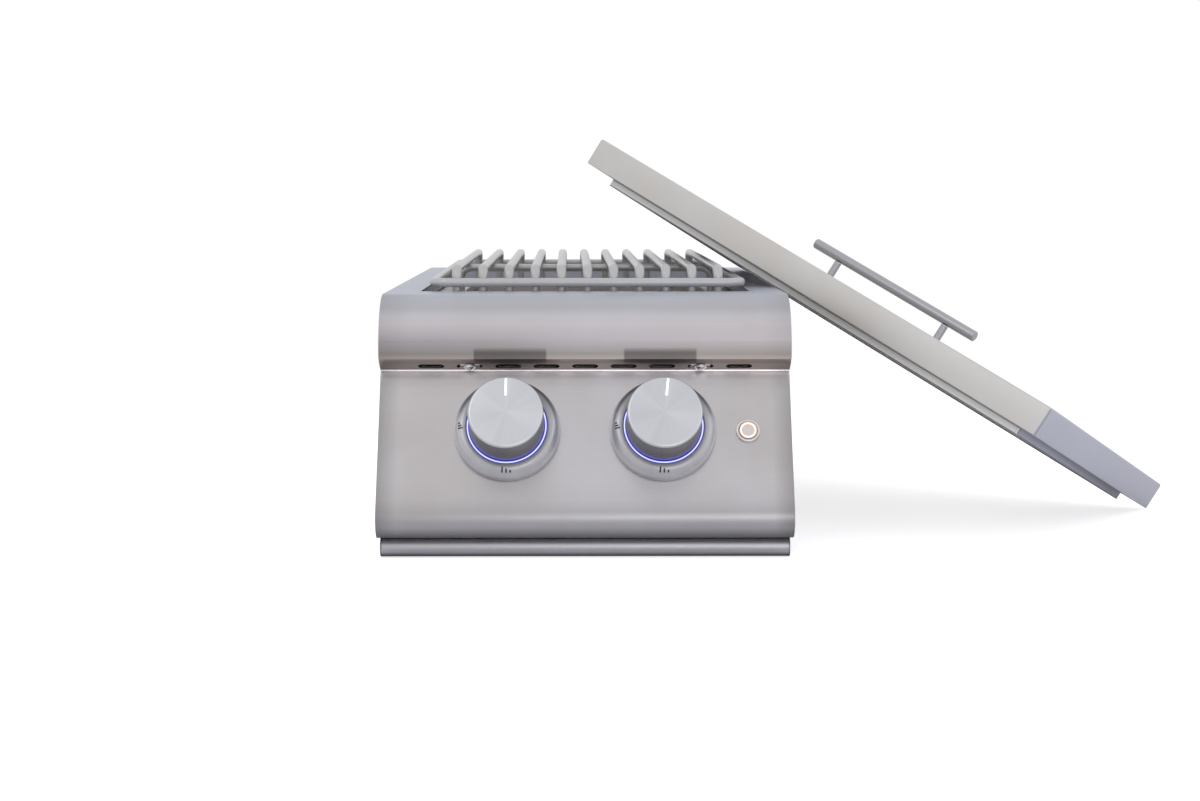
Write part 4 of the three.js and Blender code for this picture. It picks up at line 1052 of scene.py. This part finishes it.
def make_lid():
    def loop(inset, corner=LID_CORNER):
        return rectangle_loop(LID_LENGTH - 2 * inset, LID_WIDTH - 2 * inset, max(corner - inset, 0.4))

    # The skin lies a little inside the solid. It goes from the hollow round the rim's foot to the crown.
    skin = 0.1
    mouth = 12
    crown_centre = (LID_CROWN, LID_TOP - LID_CROWN)
    opening = loop(mouth, mouth + LID_CORNER)
    loops = [(loop(SHEET), LID_TOP - SHEET), (loop(SHEET), LID_FOOT + SHEET), (opening, LID_FOOT + SHEET),
             (opening, LID_FOOT), (loop(1.2), LID_FOOT), (loop(0.35), LID_FOOT + 0.35),
             (loop(skin), LID_FOOT + 1.2)]
    loops += [(loop(inset), height) for inset, height in arc(crown_centre, LID_CROWN - skin, 180, 90, 6)]
    loops.append((loop(20, 23), LID_TOP))
    cover = to_object("lid_pan", loft(loops), LID)
    dress(cover, lid_steel, lid_end_steel, bend_painted_reflection)
    face_ends(cover)
    declare(cover, "lid", "lid_steel", "lid_cover")

    gap = 2
    corner = 3
    top = LID_TOP - SHEET - SEAT
    length = OPENING_LENGTH - 2 * gap
    width = OPENING_WIDTH - 2 * gap
    outer = rectangle_loop(length, width, corner, 6)
    inner = rectangle_loop(length - 2 * SHEET, width - 2 * SHEET, corner - SHEET, 6)
    loops = [(outer, 0), (outer, top), (inner, top), (inner, 0), (outer, 0)]
    skirt = to_object("lid_rail", loft(loops, capped=False), LID)
    dress(skirt, skirt_painted_shades, skirt_end_steel, bend_painted_reflection)
    face_ends(skirt)
    declare(skirt, "lid", "lid_steel", "lid_skirt")


def make_handle():
    radius = 5.5
    half = 110
    chamfer = 1
    height = LID_TOP + 27
    end = arc((radius - chamfer, half - chamfer), chamfer, 0, 90, 4)
    profile = [(0, -half), *((r, -h) for r, h in end[::-1]), *end, (0, half)]
    bar = to_object("grip_bar", turned(profile, 64),
                    LID @ shift(0, 0, height) @ Matrix.Rotation(math.pi / 2, 4, "Y"))
    dress(bar, bar_steel)
    declare(bar, "lid", "trim_steel", "lid_handle_bar")
    post_radius = 4
    spacing = 148
    foot = LID_TOP + SEAT
    top = height - radius - SEAT
    for side, x in (("left", -spacing / 2), ("right", spacing / 2)):
        post = turned([(0, foot), (post_radius, foot), (post_radius, top), (0, top)])
        piece = to_object("grip_post_" + side, post, LID @ shift(x, 0, 0))
        dress(piece, bar_steel)
        declare(piece, "lid", "trim_steel", "lid_handle_post_" + side)


def make_tray_front():
    """The half-round strip under the panel: a bent sheet, and a plate in each end."""
    roll = 9
    edge = 188
    back = -52.3
    centre = (-70.5, roll + SEAT - HEIGHT)
    path = [(back, centre[1] + roll), *arc(centre, roll, 90, 270, 32), (back, centre[1] - roll)]
    front = to_object("tray_roll", sweep_x(sheet_outline([Vector(p) for p in path]), -edge, edge), BODY)
    pieces = [front]
    for side, x in (("left", -edge), ("right", edge - SHEET)):
        count = len(path)
        points = [(depth, y, z) for depth in (0, SHEET) for y, z in path]
        faces = [list(range(count)), [i + count for i in range(count)][::-1]]
        faces += [[i, (i + 1) % count, (i + 1) % count + count, i + count] for i in range(count)]
        pieces.append(to_object("tray_end_" + side, build_mesh(points, faces), BODY @ shift(x, 0, 0)))
    for piece in pieces:
        dress(piece, tray_steel)
        declare(piece, "tray", "panel_steel", "drip_tray_front")


make_deck()
make_panel()
make_screws()
make_controls()
make_button()
make_grate()
make_lid()
make_handle()
make_tray_front()

# The CAD nodes that stay get their own finishes, by the start of their names.
finishes = {
    side_steel: ["end_cap"],
    dark_steel: ["mounting_flange", "heat_shield"],
    inner_steel: ["casing", "rear_panel", "burner_pan", "pan_bracket", "gas_manifold"],
    black_plastic: ["spark_module"],
    brass: ["valve_body", "inlet_", "gas_connection", "button_nut", "burner_ring"],
    spring_steel: ["valve_stem", "stem_collar", "electrode"],
    cast_iron: ["burner_base", "burner_cap"],
    ceramic: ["igniter"],
}
for name, node in nodes.items():
    for finish, starts in finishes.items():
        if name.startswith(tuple(starts)):
            dress(node, finish)
dress(nodes["drip_tray"], inner_steel)


# Floor, sky and lamps
def add_white_rays(tree):
    """One for camera, glossy and transmission rays, and nought for the rest."""
    rays = add_node(tree, "LightPath").outputs
    seen = add_math(tree, "MAXIMUM", rays["Is Camera Ray"], rays["Is Glossy Ray"])
    return add_math(tree, "MAXIMUM", seen, rays["Is Transmission Ray"])


def add_emission(tree, strength):
    return add_node(tree, "Emission", {"Color": (1, 1, 1), "Strength": strength}).outputs["Emission"]


def make_floor():
    """Pale paint that keeps the object's shadow, and turns into the white background further out."""
    half = 9
    camera_share = 0.5
    glossy_share = 0.12
    white_from = 0.5
    white_at = 1.6
    mesh = bpy.data.meshes.new("floor")
    corners = [(-half, -half, 0), (half, -half, 0), (half, half, 0), (-half, half, 0)]
    mesh.from_pydata(corners, [], [[0, 1, 2, 3]])
    floor = to_object("floor", mesh)
    paint, tree, shader = new_material("floor_paint")
    fill(tree, shader, {"Base Color": (0.93, 0.93, 0.94), "Roughness": 0.9})
    white_rays = add_white_rays(tree)
    camera_ray = add_node(tree, "LightPath").outputs["Is Camera Ray"]
    glossy_lift = add_math(tree, "MULTIPLY", white_rays, glossy_share)
    lift = add_emission(tree, add_math(tree, "MULTIPLY_ADD", camera_ray, camera_share, glossy_lift))
    lifted = add_node(tree, "AddShader", {0: shader.outputs["BSDF"], 1: lift}).outputs["Shader"]
    fade = add_range(tree, add_radius(tree)[0], 0, 1, white_from, white_at)
    whitened = add_math(tree, "MULTIPLY", fade, white_rays)
    mix = add_node(tree, "MixShader", {0: whitened, 1: lifted, 2: add_emission(tree, 1.0)})
    fill(tree, tree.nodes["Material Output"], {"Surface": mix.outputs["Shader"]})
    dress(floor, paint)


def make_sky():
    """A pale blue light that the camera and the reflections see as white."""
    world = bpy.data.worlds.new("studio")
    world.use_nodes = True
    scene.world = world
    tree = world.node_tree
    tree.nodes.clear()
    blue, white = [add_node(tree, "Background", {"Color": color, "Strength": strength}).outputs["Background"]
                   for color, strength in (((0.93, 0.95, 1.0), 0.8), ((1, 1, 1), 1.0))]
    mix = add_node(tree, "MixShader", {0: add_white_rays(tree), 1: blue, 2: white})
    add_node(tree, "OutputWorld", {"Surface": mix.outputs["Shader"]})


def add_lamp(name, place, target, size, power, color):
    """A round soft lamp. Places and size are in metres, power is in watts."""
    data = bpy.data.lights.new(name, "AREA")
    data.shape = "DISK"
    data.size = size
    data.energy = power
    data.color = color
    lamp = bpy.data.objects.new(name, data)
    lamp.location = place
    lamp.rotation_euler = (Vector(target) - Vector(place)).to_track_quat("-Z", "Y").to_euler()
    scene.collection.objects.link(lamp)


make_floor()
make_sky()
add_lamp("key", place=(-1.6, -2.2, 2.6), target=(0, -0.2, 0.1), size=1.6, power=7.5, color=(1, 0.98, 0.96))
add_lamp("fill", place=(2.4, -1.6, 1.8), target=(0.1, -0.1, 0.1), size=1.8, power=3.5,
         color=(0.86, 0.91, 1.0))
add_lamp("front", place=(0.6, -3.0, 0.45), target=(0.1, 0, 0.15), size=1.6, power=6.5, color=(1, 0.99, 0.98))
